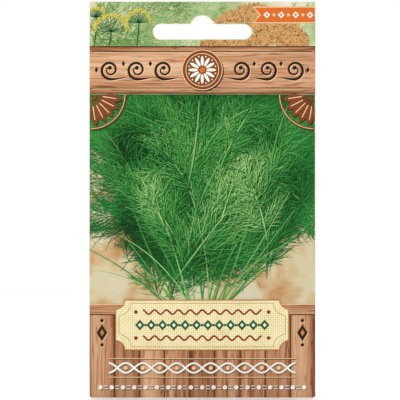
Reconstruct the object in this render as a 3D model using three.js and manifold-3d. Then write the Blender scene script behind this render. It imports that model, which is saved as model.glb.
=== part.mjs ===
// A sealed paper seed packet that hangs on a peg by its slot, in millimetres, +Z up, front facing -Y.
// The origin is the top of the slot's round notch, where a peg bears, so the packet hangs below it.
import * as THREE from "three";
import { mergeVertices } from "three/addons/utils/BufferGeometryUtils.js";
import Module from "manifold-3d";

const wasm = await Module();
wasm.setup();

// Driving dimensions of the packet.
const packetWidth = 80;
const packetHeight = 140;
const paperThickness = 0.15;
const slotWidth = 34.7;
const slotHeight = 5.3;
const slotTopDepth = 8.0; // from the packet's top edge to the straight upper edge of the slot
const notchDepth = 4.9; // from the packet's top edge to the top of the round notch
const notchWidth = 7.9;
const headerHeight = 19; // glued, so it stays flat
const headerGlueSideMargin = 2;
const headerGlueTopMargin = 1;
const headerGlueSlotMargin = 0.6;
const pillowHalfDepth = 2.7; // how far each panel bulges at the fullest place
const pillowRise = 1.0; // these two powers set how fast the bulge grows from the bottom fold
const pillowFall = 1.7; // and how it thins towards the header
const seamFlapWidth = 10;
const bottomFlapHeight = 14;
const bottomFlapTaper = 5;
const seamRampStart = 0.3; // the back panel steps down past the seam flap's edge, over this run
const seamRampRun = 2.5;
const filmThickness = 0.05;
const filmClearance = 0.04;
const edgeMargin = 0.5; // how far the back panel's free edge stops short of the fold
const seamGlueInset = 1.2;
const bottomGlueInset = 2.5;
const flapRooting = 1.2; // how far the bottom flap's root reaches into the front panel
const flapInset = 0.01; // and how much thinner it is there, on each face

// Driving dimensions of the seeds.
const seedLength = 4.2;
const seedWidth = 2.1;
const seedThickness = 1.0;
const seedSides = 6;
const seedRings = 3;
const seedSizeRange = [0.88, 1.12];
const seedLean = 0.17; // radians either way out of the packet's plane
const seedCount = 150;
const seedClearance = 0.15;
const heapTopHeight = 47; // the heap's mean top, above the packet's bottom edge
const heapWaves = [
  { rise: 4.5, length: 69, shift: 0.6 },
  { rise: 2, length: 27, shift: 0 },
];
const heapBottomMargin = 8;
const heapSideMargin = 5.5;
const coreBottomMargin = 13;
const coreSideMargin = 9;
const coreTopMargin = 1.5;
const coreInset = 0.9; // the core lies this far under the paper, and the seeds stand out of it
const coreLeast = 0.12;
const coreSteps = [26, 12];
const evenStepX = 0.7548776662; // these two steps spread a run of points evenly over a square
const evenStepZ = 0.569840291;

// Places worked out from the driving dimensions.
const topZ = notchDepth;
const bottomZ = notchDepth - packetHeight;
const halfWidth = packetWidth / 2;
const headerZ = topZ - headerHeight;
const glueGap = filmThickness + 2 * filmClearance;
const innerY = glueGap / 2;
const layerStep = paperThickness + glueGap;
const foldInner = (2 * innerY + layerStep) / 2;
const foldOuter = foldInner + paperThickness;
const tubeBottomZ = bottomZ + foldOuter;
const foldX = halfWidth - (innerY + paperThickness);
const flapReach = halfWidth - edgeMargin;
const seamFlapX = -foldX + seamFlapWidth;
const foldSteps = 4;
const slotSteps = 12;
const slotCutDepth = 4;

// Colours of the paper's print taken as a whole, of the glue and of the seeds.
const printedPaperColor = 0x437a3c;
const glueColor = 0xe9e4d2;
const seedColor = 0x8a6a45;

// A list of evenly spaced values, both ends included.
function evenly(from, to, steps) {
  return Array.from({ length: steps + 1 }, (_, i) => THREE.MathUtils.lerp(from, to, i / steps));
}

// Every layer of paper and glue bends at these same places, so the thin gaps between them stay even.
const rampX = [seamFlapX + seamRampStart, seamFlapX + seamRampStart + seamRampRun];
const seamX = evenly(-foldX, seamFlapX, 3);
const panelX = [...seamX, rampX[0], ...evenly(rampX[1], foldX, 14)];
const flapTopZ = bottomZ + bottomFlapHeight;
const lowRows = evenly(tubeBottomZ, flapTopZ, 5);
const pillowRows = evenly(flapTopZ, headerZ, 13);
const headerRows = evenly(headerZ, topZ, 2);
const panelZ = [...lowRows, ...pillowRows.slice(1), ...headerRows.slice(1)];

// How far each panel stands off the middle plane at a place on the packet.
function pillow(x, z) {
  const across = Math.min(1, Math.abs(x) / foldX);
  const up = (z - bottomZ) / (headerZ - bottomZ);
  if (up <= 0 || up >= 1) return 0;
  const peak = pillowRise / (pillowRise + pillowFall);
  const rise = Math.pow(up / peak, pillowRise);
  const fall = Math.pow((1 - up) / (1 - peak), pillowFall);
  return pillowHalfDepth * (1 - across * across) * rise * fall;
}

// The back panel's step over the seam flap that lies under it.
function seamLift(x) {
  const share = (x - rampX[0]) / seamRampRun;
  return layerStep * (1 - Math.min(1, Math.max(0, share)));
}

// Moves every vertex off the middle plane by the pillow, front and back, and by a given lift.
function inflate(geometry, lift = () => 0) {
  const position = geometry.getAttribute("position");
  for (let i = 0; i < position.count; i++) {
    const x = position.getX(i);
    const y = position.getY(i);
    const z = position.getZ(i);
    const side = y < 0 ? -1 : 1;
    position.setY(i, y + side * pillow(x, z) + lift(x, y));
  }
  return geometry;
}

// A closed geometry as a solid for joining and cutting.
function solidOf(geometry) {
  const bare = geometry.index ? geometry.toNonIndexed() : geometry.clone();
  bare.deleteAttribute("normal");
  bare.deleteAttribute("uv");
  const merged = mergeVertices(bare, 1e-5);
  return new wasm.Manifold(
    new wasm.Mesh({
      numProp: 3,
      vertProperties: new Float32Array(merged.getAttribute("position").array),
      triVerts: new Uint32Array(merged.index.array),
    }),
  );
}

// A solid as a geometry that a mesh can hold.
function geometryOf(solid) {
  const mesh = solid.getMesh();
  return new THREE.BufferGeometry()
    .setAttribute("position", new THREE.BufferAttribute(mesh.vertProperties, mesh.numProp))
    .setIndex(new THREE.BufferAttribute(mesh.triVerts, 1));
}

// A named mesh with its own material.
function meshOf(name, geometry, color, roughness) {
  const shown = geometry.index ? geometry.toNonIndexed() : geometry;
  shown.computeVertexNormals();
  const material = new THREE.MeshStandardMaterial({ color, roughness, metalness: 0 });
  const mesh = new THREE.Mesh(shown, material);
  mesh.name = name;
  return mesh;
}

// Points along one run of the folded section, at a height over each x.
function run(stops, heightAt) {
  return stops.map((x) => new THREE.Vector2(x, heightAt(x)));
}

// Points round a fold: a half ring about (x, 0), from the front to the back or the other way.
function foldArc(x, radius, fromAngle, toAngle) {
  const points = [];
  for (let i = 1; i < foldSteps; i++) {
    const angle = THREE.MathUtils.lerp(fromAngle, toAngle, i / foldSteps);
    points.push(new THREE.Vector2(x + radius * Math.cos(angle), radius * Math.sin(angle)));
  }
  return points;
}

// The folded sheet seen from above: seam flap, left fold, front, right fold and back, as one strip.
function sheetSection() {
  const outerY = innerY + paperThickness;
  const backX = [-halfWidth + edgeMargin, ...panelX.slice(1)];
  const turn = Math.PI / 2;
  const outside = [
    ...run([...seamX].reverse(), () => outerY),
    ...foldArc(-foldX, outerY, turn, 3 * turn),
    ...run(panelX, () => -outerY),
    ...foldArc(foldX, outerY, -turn, turn),
    ...run([...backX].reverse(), (x) => outerY + seamLift(x)),
  ];
  const inside = [
    ...run(backX, (x) => innerY + seamLift(x)),
    ...foldArc(foldX, innerY, turn, -turn),
    ...run([...panelX].reverse(), () => -innerY),
    ...foldArc(-foldX, innerY, 3 * turn, turn),
    ...run(seamX, () => innerY),
  ];
  return new THREE.Shape([...outside, ...inside]);
}

// An extrusion whose steps lie at the given stops along its length.
function extrudeThrough(shape, stops) {
  const steps = stops.length - 1;
  const geometry = new THREE.ExtrudeGeometry(shape, {
    depth: steps,
    steps,
    bevelEnabled: false,
    curveSegments: 2 * foldSteps,
  });
  const position = geometry.getAttribute("position");
  for (let i = 0; i < position.count; i++) {
    position.setZ(i, stops[Math.round(position.getZ(i))]);
  }
  return geometry;
}

// The bottom flap seen from the side: it leaves the front panel, turns under and climbs the back.
function bottomFlapSection() {
  const centreY = foldOuter - innerY - paperThickness;
  const outerRadius = foldOuter - flapInset;
  const innerRadius = foldInner + flapInset;
  const shape = new THREE.Shape();
  shape.moveTo(centreY - outerRadius, tubeBottomZ + flapRooting);
  shape.lineTo(centreY - outerRadius, tubeBottomZ);
  shape.absarc(centreY, tubeBottomZ, outerRadius, Math.PI, 2 * Math.PI, false);
  for (const z of lowRows.slice(1)) shape.lineTo(centreY + outerRadius, z);
  for (const z of [...lowRows].reverse()) shape.lineTo(centreY + innerRadius, z);
  shape.absarc(centreY, tubeBottomZ, innerRadius, 2 * Math.PI, Math.PI, true);
  shape.lineTo(centreY - innerRadius, tubeBottomZ + flapRooting);
  shape.closePath();
  return shape;
}

// The sheet's tube, extruded upwards from its lower edge and then filled out.
function sheetTube() {
  return inflate(extrudeThrough(sheetSection(), panelZ));
}

// Draws in the flap's two ends towards its free edge.
function taper(geometry) {
  const position = geometry.getAttribute("position");
  for (let i = 0; i < position.count; i++) {
    if (position.getY(i) < 0 || Math.abs(position.getX(i)) < flapReach) continue;
    const up = Math.max(0, position.getZ(i) - tubeBottomZ) / bottomFlapHeight;
    position.setX(i, Math.sign(position.getX(i)) * (flapReach - bottomFlapTaper * up));
  }
  return geometry;
}

// The lift of what lies over the seam, spread round the fold at the packet's bottom edge.
function overSeam(x, y) {
  const share = Math.min(1, Math.max(0, (y + innerY) / (2 * foldInner)));
  return seamLift(x) * share;
}

function bottomFlap() {
  const stops = [-flapReach, ...panelX.slice(1, -1), flapReach];
  const geometry = extrudeThrough(bottomFlapSection(), stops);
  const turned = new THREE.Matrix4().makeBasis(
    new THREE.Vector3(0, 1, 0),
    new THREE.Vector3(0, 0, 1),
    new THREE.Vector3(1, 0, 0),
  );
  return inflate(taper(geometry.applyMatrix4(turned)), overSeam);
}

// The outline of the hang slot, grown by a margin: a bar with round ends and a round notch above it.
function slotShape(margin) {
  const endRadius = slotHeight / 2 + margin;
  const slotTopZ = topZ - slotTopDepth + margin;
  const centreZ = topZ - slotTopDepth - slotHeight / 2;
  const endX = slotWidth / 2 - slotHeight / 2;
  const notchRise = slotTopDepth - notchDepth;
  const half = notchWidth / 2;
  const notchRadius = (half * half + notchRise * notchRise) / (2 * notchRise);
  const notchCentreZ = topZ - notchDepth - notchRadius;
  const reach = notchRadius + margin;
  const start = Math.asin((slotTopZ - notchCentreZ) / reach);
  const shape = new THREE.Shape();
  shape.moveTo(-endX, centreZ - endRadius);
  shape.lineTo(endX, centreZ - endRadius);
  shape.absarc(endX, centreZ, endRadius, -Math.PI / 2, Math.PI / 2, false);
  shape.absarc(0, notchCentreZ, reach, start, Math.PI - start, false);
  shape.lineTo(-endX, slotTopZ);
  shape.absarc(-endX, centreZ, endRadius, Math.PI / 2, (3 * Math.PI) / 2, false);
  return shape;
}

// An upright outline, drawn in (x, z), as a plate of a thickness about the middle plane.
function plate(shape, thickness) {
  const geometry = new THREE.ExtrudeGeometry(shape, {
    depth: thickness,
    bevelEnabled: false,
    curveSegments: slotSteps,
  });
  geometry.rotateX(Math.PI / 2);
  return geometry.translate(0, thickness / 2, 0);
}

function packetPaper() {
  const sheet = solidOf(sheetTube()).add(solidOf(bottomFlap()));
  return geometryOf(sheet.subtract(solidOf(plate(slotShape(0), slotCutDepth))));
}

// The film that closes the header, with the slot cut back from it.
function headerGlue() {
  const reach = halfWidth - headerGlueSideMargin;
  const upperZ = topZ - headerGlueTopMargin;
  const shape = new THREE.Shape();
  shape.moveTo(-reach, headerZ);
  shape.lineTo(reach, headerZ);
  shape.lineTo(reach, upperZ);
  shape.lineTo(-reach, upperZ);
  shape.closePath();
  shape.holes.push(slotShape(headerGlueSlotMargin));
  return plate(shape, filmThickness);
}

// A thin film between two layers of the back panel's side, through the given stops.
function backFilm(stopsX, stopsZ, lift) {
  const stepsX = stopsX.length - 1;
  const stepsZ = stopsZ.length - 1;
  const layerY = innerY + paperThickness + filmClearance;
  const geometry = new THREE.BoxGeometry(stepsX, filmThickness, stepsZ, stepsX, 1, stepsZ);
  geometry.translate(stepsX / 2, layerY + filmThickness / 2, stepsZ / 2);
  const position = geometry.getAttribute("position");
  for (let i = 0; i < position.count; i++) {
    position.setX(i, stopsX[Math.round(position.getX(i))]);
    position.setZ(i, stopsZ[Math.round(position.getZ(i))]);
  }
  return inflate(geometry, lift);
}

function seamGlue() {
  const ends = [seamX[0] + seamGlueInset, seamX.at(-1) - seamGlueInset];
  return backFilm([ends[0], ...seamX.slice(1, -1), ends[1]], panelZ.slice(2, -1));
}

function bottomGlue() {
  const reach = flapReach - bottomFlapTaper - bottomGlueInset;
  const stopsX = [-reach, ...panelX.filter((x) => Math.abs(x) < reach), reach];
  return backFilm(stopsX, lowRows.slice(1, -1), seamLift);
}

// A repeatable random number from 0 to 1.
function makeRandom(seed) {
  let state = seed;
  return () => {
    state = (state * 1664525 + 1013904223) % 4294967296;
    return state / 4294967296;
  };
}

// The height of the heap's uneven top over x.
function heapTopZ(x) {
  const wave = ({ rise, length, shift }) => rise * Math.sin((2 * Math.PI * x) / length + shift);
  return heapWaves.reduce((z, each) => z + wave(each), bottomZ + heapTopHeight);
}

// How far a point may lie from the middle plane and still clear the paper.
function roomAt(x, z) {
  return pillow(x, z) + innerY - seedClearance;
}

// Pushes a geometry towards the middle plane until each vertex is clear of the paper.
function settle(geometry, y) {
  const position = geometry.getAttribute("position");
  let back = -Infinity;
  let front = -Infinity;
  for (let i = 0; i < position.count; i++) {
    const room = roomAt(position.getX(i), position.getZ(i));
    back = Math.max(back, position.getY(i) - room);
    front = Math.max(front, -position.getY(i) - room);
  }
  if (back + front > 0) return null;
  return geometry.translate(0, Math.min(-back, Math.max(front, y)), 0);
}

// One flat oval seed, laid in the plane of the packet and leaning a little.
function seedGeometry(x, z, spin, lean, scale) {
  const geometry = new THREE.SphereGeometry(1, seedSides, seedRings);
  geometry.scale(
    (seedWidth / 2) * scale,
    (seedLength / 2) * scale,
    (seedThickness / 2) * scale,
  );
  geometry.rotateX(Math.PI / 2 + lean);
  geometry.rotateY(spin);
  return geometry.translate(x, 0, z);
}

// The heap's middle, which every seed stands out of.
function heapCore() {
  const reach = halfWidth - coreSideMargin;
  const geometry = new THREE.BoxGeometry(2 * reach, 2, 2, coreSteps[0], 1, coreSteps[1]);
  const position = geometry.getAttribute("position");
  for (let i = 0; i < position.count; i++) {
    const x = position.getX(i);
    const share = (position.getZ(i) + 1) / 2;
    const z = THREE.MathUtils.lerp(bottomZ + coreBottomMargin, heapTopZ(x) - coreTopMargin, share);
    const half = Math.max(coreLeast, pillow(x, z) - coreInset);
    position.setXYZ(i, x, Math.sign(position.getY(i)) * half, z);
  }
  return geometry;
}

// The seeds, laid evenly over both faces of the core and joined to it.
function seedHeap() {
  const random = makeRandom(7);
  const between = (from, to) => THREE.MathUtils.lerp(from, to, random());
  const parts = [solidOf(heapCore())];
  for (let i = 1; parts.length <= seedCount; i++) {
    const across = (i * evenStepX) % 1;
    const up = (i * evenStepZ) % 1;
    const x = (2 * across - 1) * (halfWidth - heapSideMargin);
    const z = THREE.MathUtils.lerp(bottomZ + heapBottomMargin, heapTopZ(x), up);
    const spin = between(0, Math.PI);
    const lean = between(-seedLean, seedLean);
    const size = between(...seedSizeRange);
    const side = i % 2 ? -1 : 1;
    const seed = settle(seedGeometry(x, z, spin, lean, size), side * pillowHalfDepth);
    if (seed) parts.push(solidOf(seed));
  }
  const bodies = wasm.Manifold.union(parts).decompose();
  bodies.sort((a, b) => b.volume() - a.volume());
  return geometryOf(bodies[0]);
}

const packet = new THREE.Group();
packet.add(meshOf("packet_paper", packetPaper(), printedPaperColor, 0.5));
packet.add(meshOf("glue_header", headerGlue(), glueColor, 0.4));
packet.add(meshOf("glue_side_seam", seamGlue(), glueColor, 0.4));
packet.add(meshOf("glue_bottom_flap", bottomGlue(), glueColor, 0.4));
packet.add(meshOf("seeds", seedHeap(), seedColor, 0.75));

export default packet;
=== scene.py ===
"""A sealed paper seed packet: folded printed paper, glue lines and seeds, dressed for rendering."""

from __future__ import annotations

import logging
import math
from collections.abc import Callable, Sequence
from dataclasses import dataclass, replace
from enum import Enum

import bmesh
import bpy
import numpy as np
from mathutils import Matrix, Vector
from numpy.random import Generator, default_rng

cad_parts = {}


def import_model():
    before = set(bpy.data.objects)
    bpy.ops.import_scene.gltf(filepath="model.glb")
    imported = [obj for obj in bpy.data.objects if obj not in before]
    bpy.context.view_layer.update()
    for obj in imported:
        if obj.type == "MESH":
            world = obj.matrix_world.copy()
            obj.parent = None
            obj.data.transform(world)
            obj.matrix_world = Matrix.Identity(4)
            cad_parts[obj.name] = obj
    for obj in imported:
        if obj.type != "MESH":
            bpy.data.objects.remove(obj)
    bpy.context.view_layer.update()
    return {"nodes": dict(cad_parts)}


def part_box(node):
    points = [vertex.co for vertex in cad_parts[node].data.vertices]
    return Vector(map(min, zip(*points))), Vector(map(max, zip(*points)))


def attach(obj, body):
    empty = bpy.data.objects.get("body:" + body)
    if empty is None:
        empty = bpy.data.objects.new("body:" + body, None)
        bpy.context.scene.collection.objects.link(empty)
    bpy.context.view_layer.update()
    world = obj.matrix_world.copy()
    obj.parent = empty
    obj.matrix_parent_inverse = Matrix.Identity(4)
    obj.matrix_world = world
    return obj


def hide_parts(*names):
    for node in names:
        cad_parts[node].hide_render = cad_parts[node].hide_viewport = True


MM = 0.001
BAKE_MAP = "OFBake"

log = logging.getLogger("seed_packet")

Array = np.ndarray
Rgb = tuple[int, int, int]
Color = tuple[float, float, float, float]
Stops = Sequence[tuple[float, Rgb]]
Place = tuple[float, float]
Bounds = tuple[float, float, float, float]
Material = bpy.types.Material
Piece = bpy.types.Object


class Slot(Enum):
    """The record's material slots."""

    PAPER = "printed_paper"
    ADHESIVE = "adhesive"
    SEED = "seed_husk"


class Zone(Enum):
    """The materials of the folded sheet, in the order of its material slots."""

    INSIDE = 0
    HEADER = 1
    BAND = 2
    PICTURE = 3
    FOOT = 4
    BACK = 5
    EDGE = 6


Zones = tuple[tuple[float, Zone], ...]


class Grain(Enum):
    """Which way the boards of a printed wood zone run."""

    ACROSS = "across"
    UPRIGHT = "upright"


def ink(rgb: Rgb) -> Color:
    """Turn a display colour, from 0 to 255, into a linear one with full opacity."""
    shares = [value / 255 for value in rgb]
    return (*(s / 12.92 if s <= 0.04045 else ((s + 0.055) / 1.055) ** 2.4 for s in shares), 1.0)


def soft_noise(x: Array, z: Array, cell: float, seed: int) -> Array:
    """Give smooth random heights over a plane.

    Args:
        x: Places across, in millimetres.
        z: Places upwards, in millimetres.
        cell: The distance between random heights, in millimetres.
        seed: Which noise to give.

    Returns:
        Heights from -1 to 1.
    """
    far = 4096.0
    u, v = x / cell + far, z / cell + far
    column, row = np.floor(u), np.floor(v)
    ease_u, ease_v = u - column, v - row
    ease_u, ease_v = ease_u**2 * (3 - 2 * ease_u), ease_v**2 * (3 - 2 * ease_v)

    def corner(a: Array, b: Array) -> Array:
        """Give the random height at a corner of the grid."""
        value = np.sin(a * 12.9898 + b * 78.233 + seed * 37.719) * 43758.5453
        return 2 * (value - np.floor(value)) - 1

    low = corner(column, row) * (1 - ease_u) + corner(column + 1, row) * ease_u
    high = corner(column, row + 1) * (1 - ease_u) + corner(column + 1, row + 1) * ease_u
    return low * (1 - ease_v) + high * ease_v


def ease(low: float, high: float, value: Array) -> Array:
    """Give a smooth step from 0 at low to 1 at high."""
    share = np.clip((value - low) / (high - low), 0, 1)
    return share * share * (3 - 2 * share)


def joined(*axes: Array | float) -> Array:
    """Put places together from their coordinates, along a new last axis."""
    return np.stack(np.broadcast_arrays(*axes), -1)


def ways(turn: Array) -> Array:
    """Give unit steps at angles from the x axis, as (x, z) along the last axis."""
    return joined(np.cos(turn), np.sin(turn))


def even_row(low: float, high: float, count: int, z: float) -> Array:
    """Give points at even distances along a level line, as (x, z) rows."""
    return joined(np.linspace(low, high, count), z)


def grid_faces(numbers: Array) -> Array:
    """Give the faces between a grid of point numbers, the grid along the last two axes."""
    low, high = numbers[..., :-1, :], numbers[..., 1:, :]
    return joined(low[..., :-1], low[..., 1:], high[..., 1:], high[..., :-1]).reshape(-1, 4)


def make_object(name: str, points: Array, faces: Sequence, materials: Sequence[Material]) -> Piece:
    """Make a smooth mesh object in the scene.

    Args:
        name: The name of the object and its mesh.
        points: Its points in millimetres, as (x, y, z) rows.
        faces: Its faces, as rows of point numbers.
        materials: What its material slots hold.

    Returns:
        The new object.
    """
    mesh = bpy.data.meshes.new(name)
    mesh.from_pydata((points * MM).tolist(), [], faces)
    mesh.shade_smooth()
    for material in materials:
        mesh.materials.append(material)
    made = bpy.data.objects.new(name, mesh)
    bpy.context.scene.collection.objects.link(made)
    return made


def face_outwards(mesh: bpy.types.Mesh) -> None:
    """Turn every face of a closed shape outwards.

    Args:
        mesh: The shape.
    """
    edit = bmesh.new()
    edit.from_mesh(mesh)
    bmesh.ops.recalc_face_normals(edit, faces=edit.faces)
    edit.to_mesh(mesh)
    edit.free()


def write_map(mesh: bpy.types.Mesh, spots: Array) -> None:
    """Give a mesh its map, one (u, v) row for each face corner."""
    layer = mesh.uv_layers.new(name=BAKE_MAP)
    layer.uv.foreach_set("vector", spots.astype(np.float32).ravel())


def settle_piece(piece: Piece, slot: Slot) -> None:
    """Ride a piece on the packet and report it.

    Args:
        piece: The piece.
        slot: The record's slot; not used.
    """
    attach(piece, "root")
    log.info("%s: %d faces", piece.name, len(piece.data.polygons))


@dataclass(frozen=True)
class PacketForm:
    """The filled packet's shape, in millimetres.

    The hang slot's notch is the origin, the front faces -Y, and z runs up.
    """

    half_width: float
    top: float
    bottom: float
    paper: float = 0.15
    glue_gap: float = 0.13
    header_height: float = 19.0
    pillow_depth: float = 2.7
    pillow_rise: float = 1.0
    pillow_fall: float = 1.7
    seam_flap_width: float = 10.0
    seam_ramp: tuple[float, float] = (0.3, 2.5)
    edge_margin: float = 0.5
    bottom_flap_height: float = 14.0
    bottom_flap_taper: float = 5.0
    heap_top: float = 47.0
    wave_height: float = 0.16
    wave_cell: float = 21.0
    dent_height: float = 0.075
    dent_cell: float = 3.0
    pucker_height: float = 0.2
    puckers: tuple[tuple[float, float, float], ...] = (
        (0.55, 1.5, 26.0),
        (1.05, 1.2, 20.0),
        (1.9, 1.6, 30.0),
    )
    front_seed: int = 3
    back_seed: int = 8

    @classmethod
    def from_frame(cls) -> PacketForm:
        """Work the driving sizes out from the frame's paper node."""
        low, high = (Vector(corner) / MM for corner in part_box("packet_paper"))
        return cls(half_width=(high.x - low.x) / 2, top=high.z, bottom=low.z)

    @property
    def inner(self) -> float:
        """Half the gap between the two panels where the packet is flat."""
        return self.glue_gap / 2

    @property
    def outer(self) -> float:
        """How far a flat panel's outside lies from the middle plane."""
        return self.inner + self.paper

    @property
    def fold_x(self) -> float:
        """Where the flat panels end and the side folds begin."""
        return self.half_width - self.outer

    @property
    def seam_flap_x(self) -> float:
        """The free edge of the seam flap."""
        return -self.fold_x + self.seam_flap_width

    @property
    def fold_inner(self) -> float:
        """The inside radius of the fold at the bottom edge."""
        return self.glue_gap + self.paper / 2

    @property
    def tube_bottom(self) -> float:
        """The height at which the fold at the bottom edge begins."""
        return self.bottom + self.fold_inner + self.paper

    @property
    def header_z(self) -> float:
        """The lower edge of the glued header."""
        return self.top - self.header_height

    def down(self, depth: float | Array) -> float | Array:
        """Give the height that lies a depth below the top edge."""
        return self.top - depth

    def bounds(self, gap: float, top: float, bottom: float) -> Bounds:
        """Give the part of a panel between two depths, clear of the side folds by a gap."""
        edge = self.half_width - gap
        return -edge, edge, self.down(bottom), self.down(top)

    def pillow(self, x: Array, z: Array) -> Array:
        """Give how far each filled panel stands off the middle plane.

        Args:
            x: Places across.
            z: Heights.

        Returns:
            Distances.
        """
        across = np.minimum(1, np.abs(x) / self.fold_x)
        up = np.clip((z - self.bottom) / (self.header_z - self.bottom), 0, 1)
        peak = self.pillow_rise / (self.pillow_rise + self.pillow_fall)
        rise = (up / peak) ** self.pillow_rise
        fall = ((1 - up) / (1 - peak)) ** self.pillow_fall
        return self.pillow_depth * (1 - across**2) * rise * fall

    def relief(self, x: Array, z: Array, seed: int) -> Array:
        """Give the small waves, seed dents and corner puckers of one panel.

        Args:
            x: Places across.
            z: Heights.
            seed: Which panel's relief to give.

        Returns:
            Heights off the smooth pillow.
        """
        from_side = self.fold_x - np.abs(x)
        from_bottom = z - self.tube_bottom
        rim = ease(0, 7, from_side) * ease(0, 9, from_bottom)
        waves = soft_noise(x, z, self.wave_cell, seed)
        waves += 0.35 * soft_noise(x, z, self.wave_cell / 2.6, seed + 1)
        waves *= rim * ease(0, 10, self.header_z + 2 - z)
        dents = soft_noise(x, z, self.dent_cell, seed + 2)
        dents += 0.3 * soft_noise(x + 9, z, self.dent_cell * 0.7, seed + 3)
        dents *= rim * ease(0, 9, self.bottom + self.heap_top + 4 - z)
        creases = 0.0
        along = np.hypot(from_side, from_bottom)
        for slope, width, reach in self.puckers:
            beside = (from_bottom - slope * from_side) / math.hypot(1, slope)
            fade = ease(3, 9, along) * (1 - ease(reach * 0.5, reach, along))
            creases += np.exp(-((beside / width) ** 2)) * fade
        parts = self.wave_height * waves, self.dent_height * dents
        return sum(parts) + self.pucker_height * creases * rim

    def seam_lift(self, x: Array) -> Array:
        """Give the back panel's step over the seam flap that lies under it."""
        start, length = self.seam_ramp
        return (self.paper + self.glue_gap) * (1 - ease(0, length, x - self.seam_flap_x - start))

    def front(self, x: Array, z: Array) -> Array:
        """Give y on the outside of the front panel."""
        return -(self.outer + self.pillow(x, z) + self.relief(x, z, self.front_seed))

    def back(self, x: Array, z: Array) -> Array:
        """Give y on the outside of the back panel."""
        flat = self.outer + self.seam_lift(x)
        return flat + self.pillow(x, z) + self.relief(x, z, self.back_seed)


@dataclass(frozen=True)
class SlotOutline:
    """The hang slot: a bar with round ends and a round notch above it, in millimetres."""

    form: PacketForm
    width: float = 34.7
    height: float = 5.3
    top_depth: float = 8.0
    notch_depth: float = 4.9
    notch_width: float = 7.9
    margin: float = 0.15
    steps: int = 16

    @property
    def end(self) -> Place:
        """The middle of the bar's round right end."""
        return (self.width - self.height) / 2, self.form.down(self.top_depth + self.height / 2)

    @property
    def notch_radius(self) -> float:
        """The radius of the notch's arc."""
        rise = self.top_depth - self.notch_depth
        return ((self.notch_width / 2) ** 2 + rise**2) / (2 * rise)

    @property
    def notch_z(self) -> float:
        """The height of the middle of the notch's arc."""
        return self.form.down(self.notch_depth) - self.notch_radius

    def points(self) -> Array:
        """Give the outline's points.

        Returns:
            (x, z) rows, counter-clockwise seen from the front.
        """
        (end_x, end_z), radius, quarter = self.end, self.notch_radius, math.pi / 2
        start = math.asin((end_z + self.height / 2 - self.notch_z) / radius)
        arcs = (
            (end_x, end_z, self.height / 2, -quarter, quarter),
            (0, self.notch_z, radius, start, math.pi - start),
            (-end_x, end_z, self.height / 2, quarter, 3 * quarter),
        )
        turns = [np.linspace(begin, end, self.steps + 1) for *_, begin, end in arcs]
        return np.concatenate([arc[:2] + arc[2] * ways(turn) for arc, turn in zip(arcs, turns)])

    def holds(self, places: Array) -> Array:
        """Tell which places lie in the slot or within the margin of it.

        Args:
            places: Places as (x, z) along the last axis.

        Returns:
            True where a place counts as in the slot.
        """
        end_x, end_z = self.end
        x, z = places[..., 0], places[..., 1]
        beyond = np.maximum(np.abs(x) - end_x, 0)
        bar = np.hypot(beyond, z - end_z) < self.height / 2 + self.margin
        notch = np.hypot(x, z - self.notch_z) < self.notch_radius + self.margin
        return bar | (notch & (z > end_z))


class Wire:
    """A value in a node tree, which arithmetic puts through Math nodes."""

    def __init__(self, nodes: Nodes, socket: bpy.types.NodeSocket) -> None:
        """Hold an output socket and the tree that it belongs to."""
        self.nodes, self.socket = nodes, socket

    def math(self, operation: str, *others: Value) -> Wire:
        """Put the value through a Math node."""
        return self.nodes.add("ShaderNodeMath", dict(enumerate((self, *others))), operation=operation)

    def __add__(self, other: Value) -> Wire:
        """Add a value."""
        return self.math("ADD", other)

    def __sub__(self, other: Value) -> Wire:
        """Take a value away."""
        return self.math("SUBTRACT", other)

    def __mul__(self, other: Value) -> Wire:
        """Multiply by a value."""
        return self.math("MULTIPLY", other)

    def __truediv__(self, other: Value) -> Wire:
        """Divide by a value."""
        return self.math("DIVIDE", other)

    def __pow__(self, other: Value) -> Wire:
        """Raise to a power."""
        return self.math("POWER", other)

    def __abs__(self) -> Wire:
        """Drop the sign."""
        return self.math("ABSOLUTE")

    def beside(self, output: str) -> Wire:
        """Give another output of the same node."""
        return Wire(self.nodes, self.socket.node.outputs[output])

    def step(self, low: float, high: float) -> Wire:
        """Give a smooth step from 0 at low to 1 at high."""
        inputs = {"Value": self, "From Min": low, "From Max": high}
        return self.nodes.add("ShaderNodeMapRange", inputs, interpolation_type="SMOOTHSTEP")

    def ramp(self, stops: Stops) -> Wire:
        """Turn the value into a colour.

        Args:
            stops: Places along the ramp with their display colours.

        Returns:
            The colour.
        """
        made = self.nodes.add("ShaderNodeValToRGB", {"Fac": self})
        elements = made.socket.node.color_ramp.elements
        while len(elements) < len(stops):
            elements.new(0.5)
        for element, (position, color) in zip(elements, stops):
            element.position, element.color = position, ink(color)
        return made

    def mixed(self, low: Value, high: Value) -> Wire:
        """Mix two colours, with the value as the share of the second."""
        inputs = {"Factor": self, 6: low, 7: high}
        return self.nodes.add("ShaderNodeMix", inputs, 2, data_type="RGBA")

    def tinted(self, tint: Wire) -> Wire:
        """Multiply the colour by another."""
        inputs = {"Factor": 1.0, 6: self, 7: tint}
        return self.nodes.add("ShaderNodeMix", inputs, 2, data_type="RGBA", blend_type="MULTIPLY")

    def axes(self, second: str = "Z") -> tuple[Wire, Wire]:
        """Give the first axis of a place and another."""
        across = self.nodes.add("ShaderNodeSeparateXYZ", {0: self})
        return across, across.beside(second)

    def noise(self, scale: Value, detail: float = 2.0, distortion: float = 0.0) -> Wire:
        """Give the value of a Noise Texture at a place."""
        inputs = {"Vector": self, "Scale": scale, "Detail": detail, "Distortion": distortion}
        return self.nodes.add("ShaderNodeTexNoise", inputs, "Fac")


Value = Wire | float | Sequence[float]
Wires = dict[str, Wire]


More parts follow.
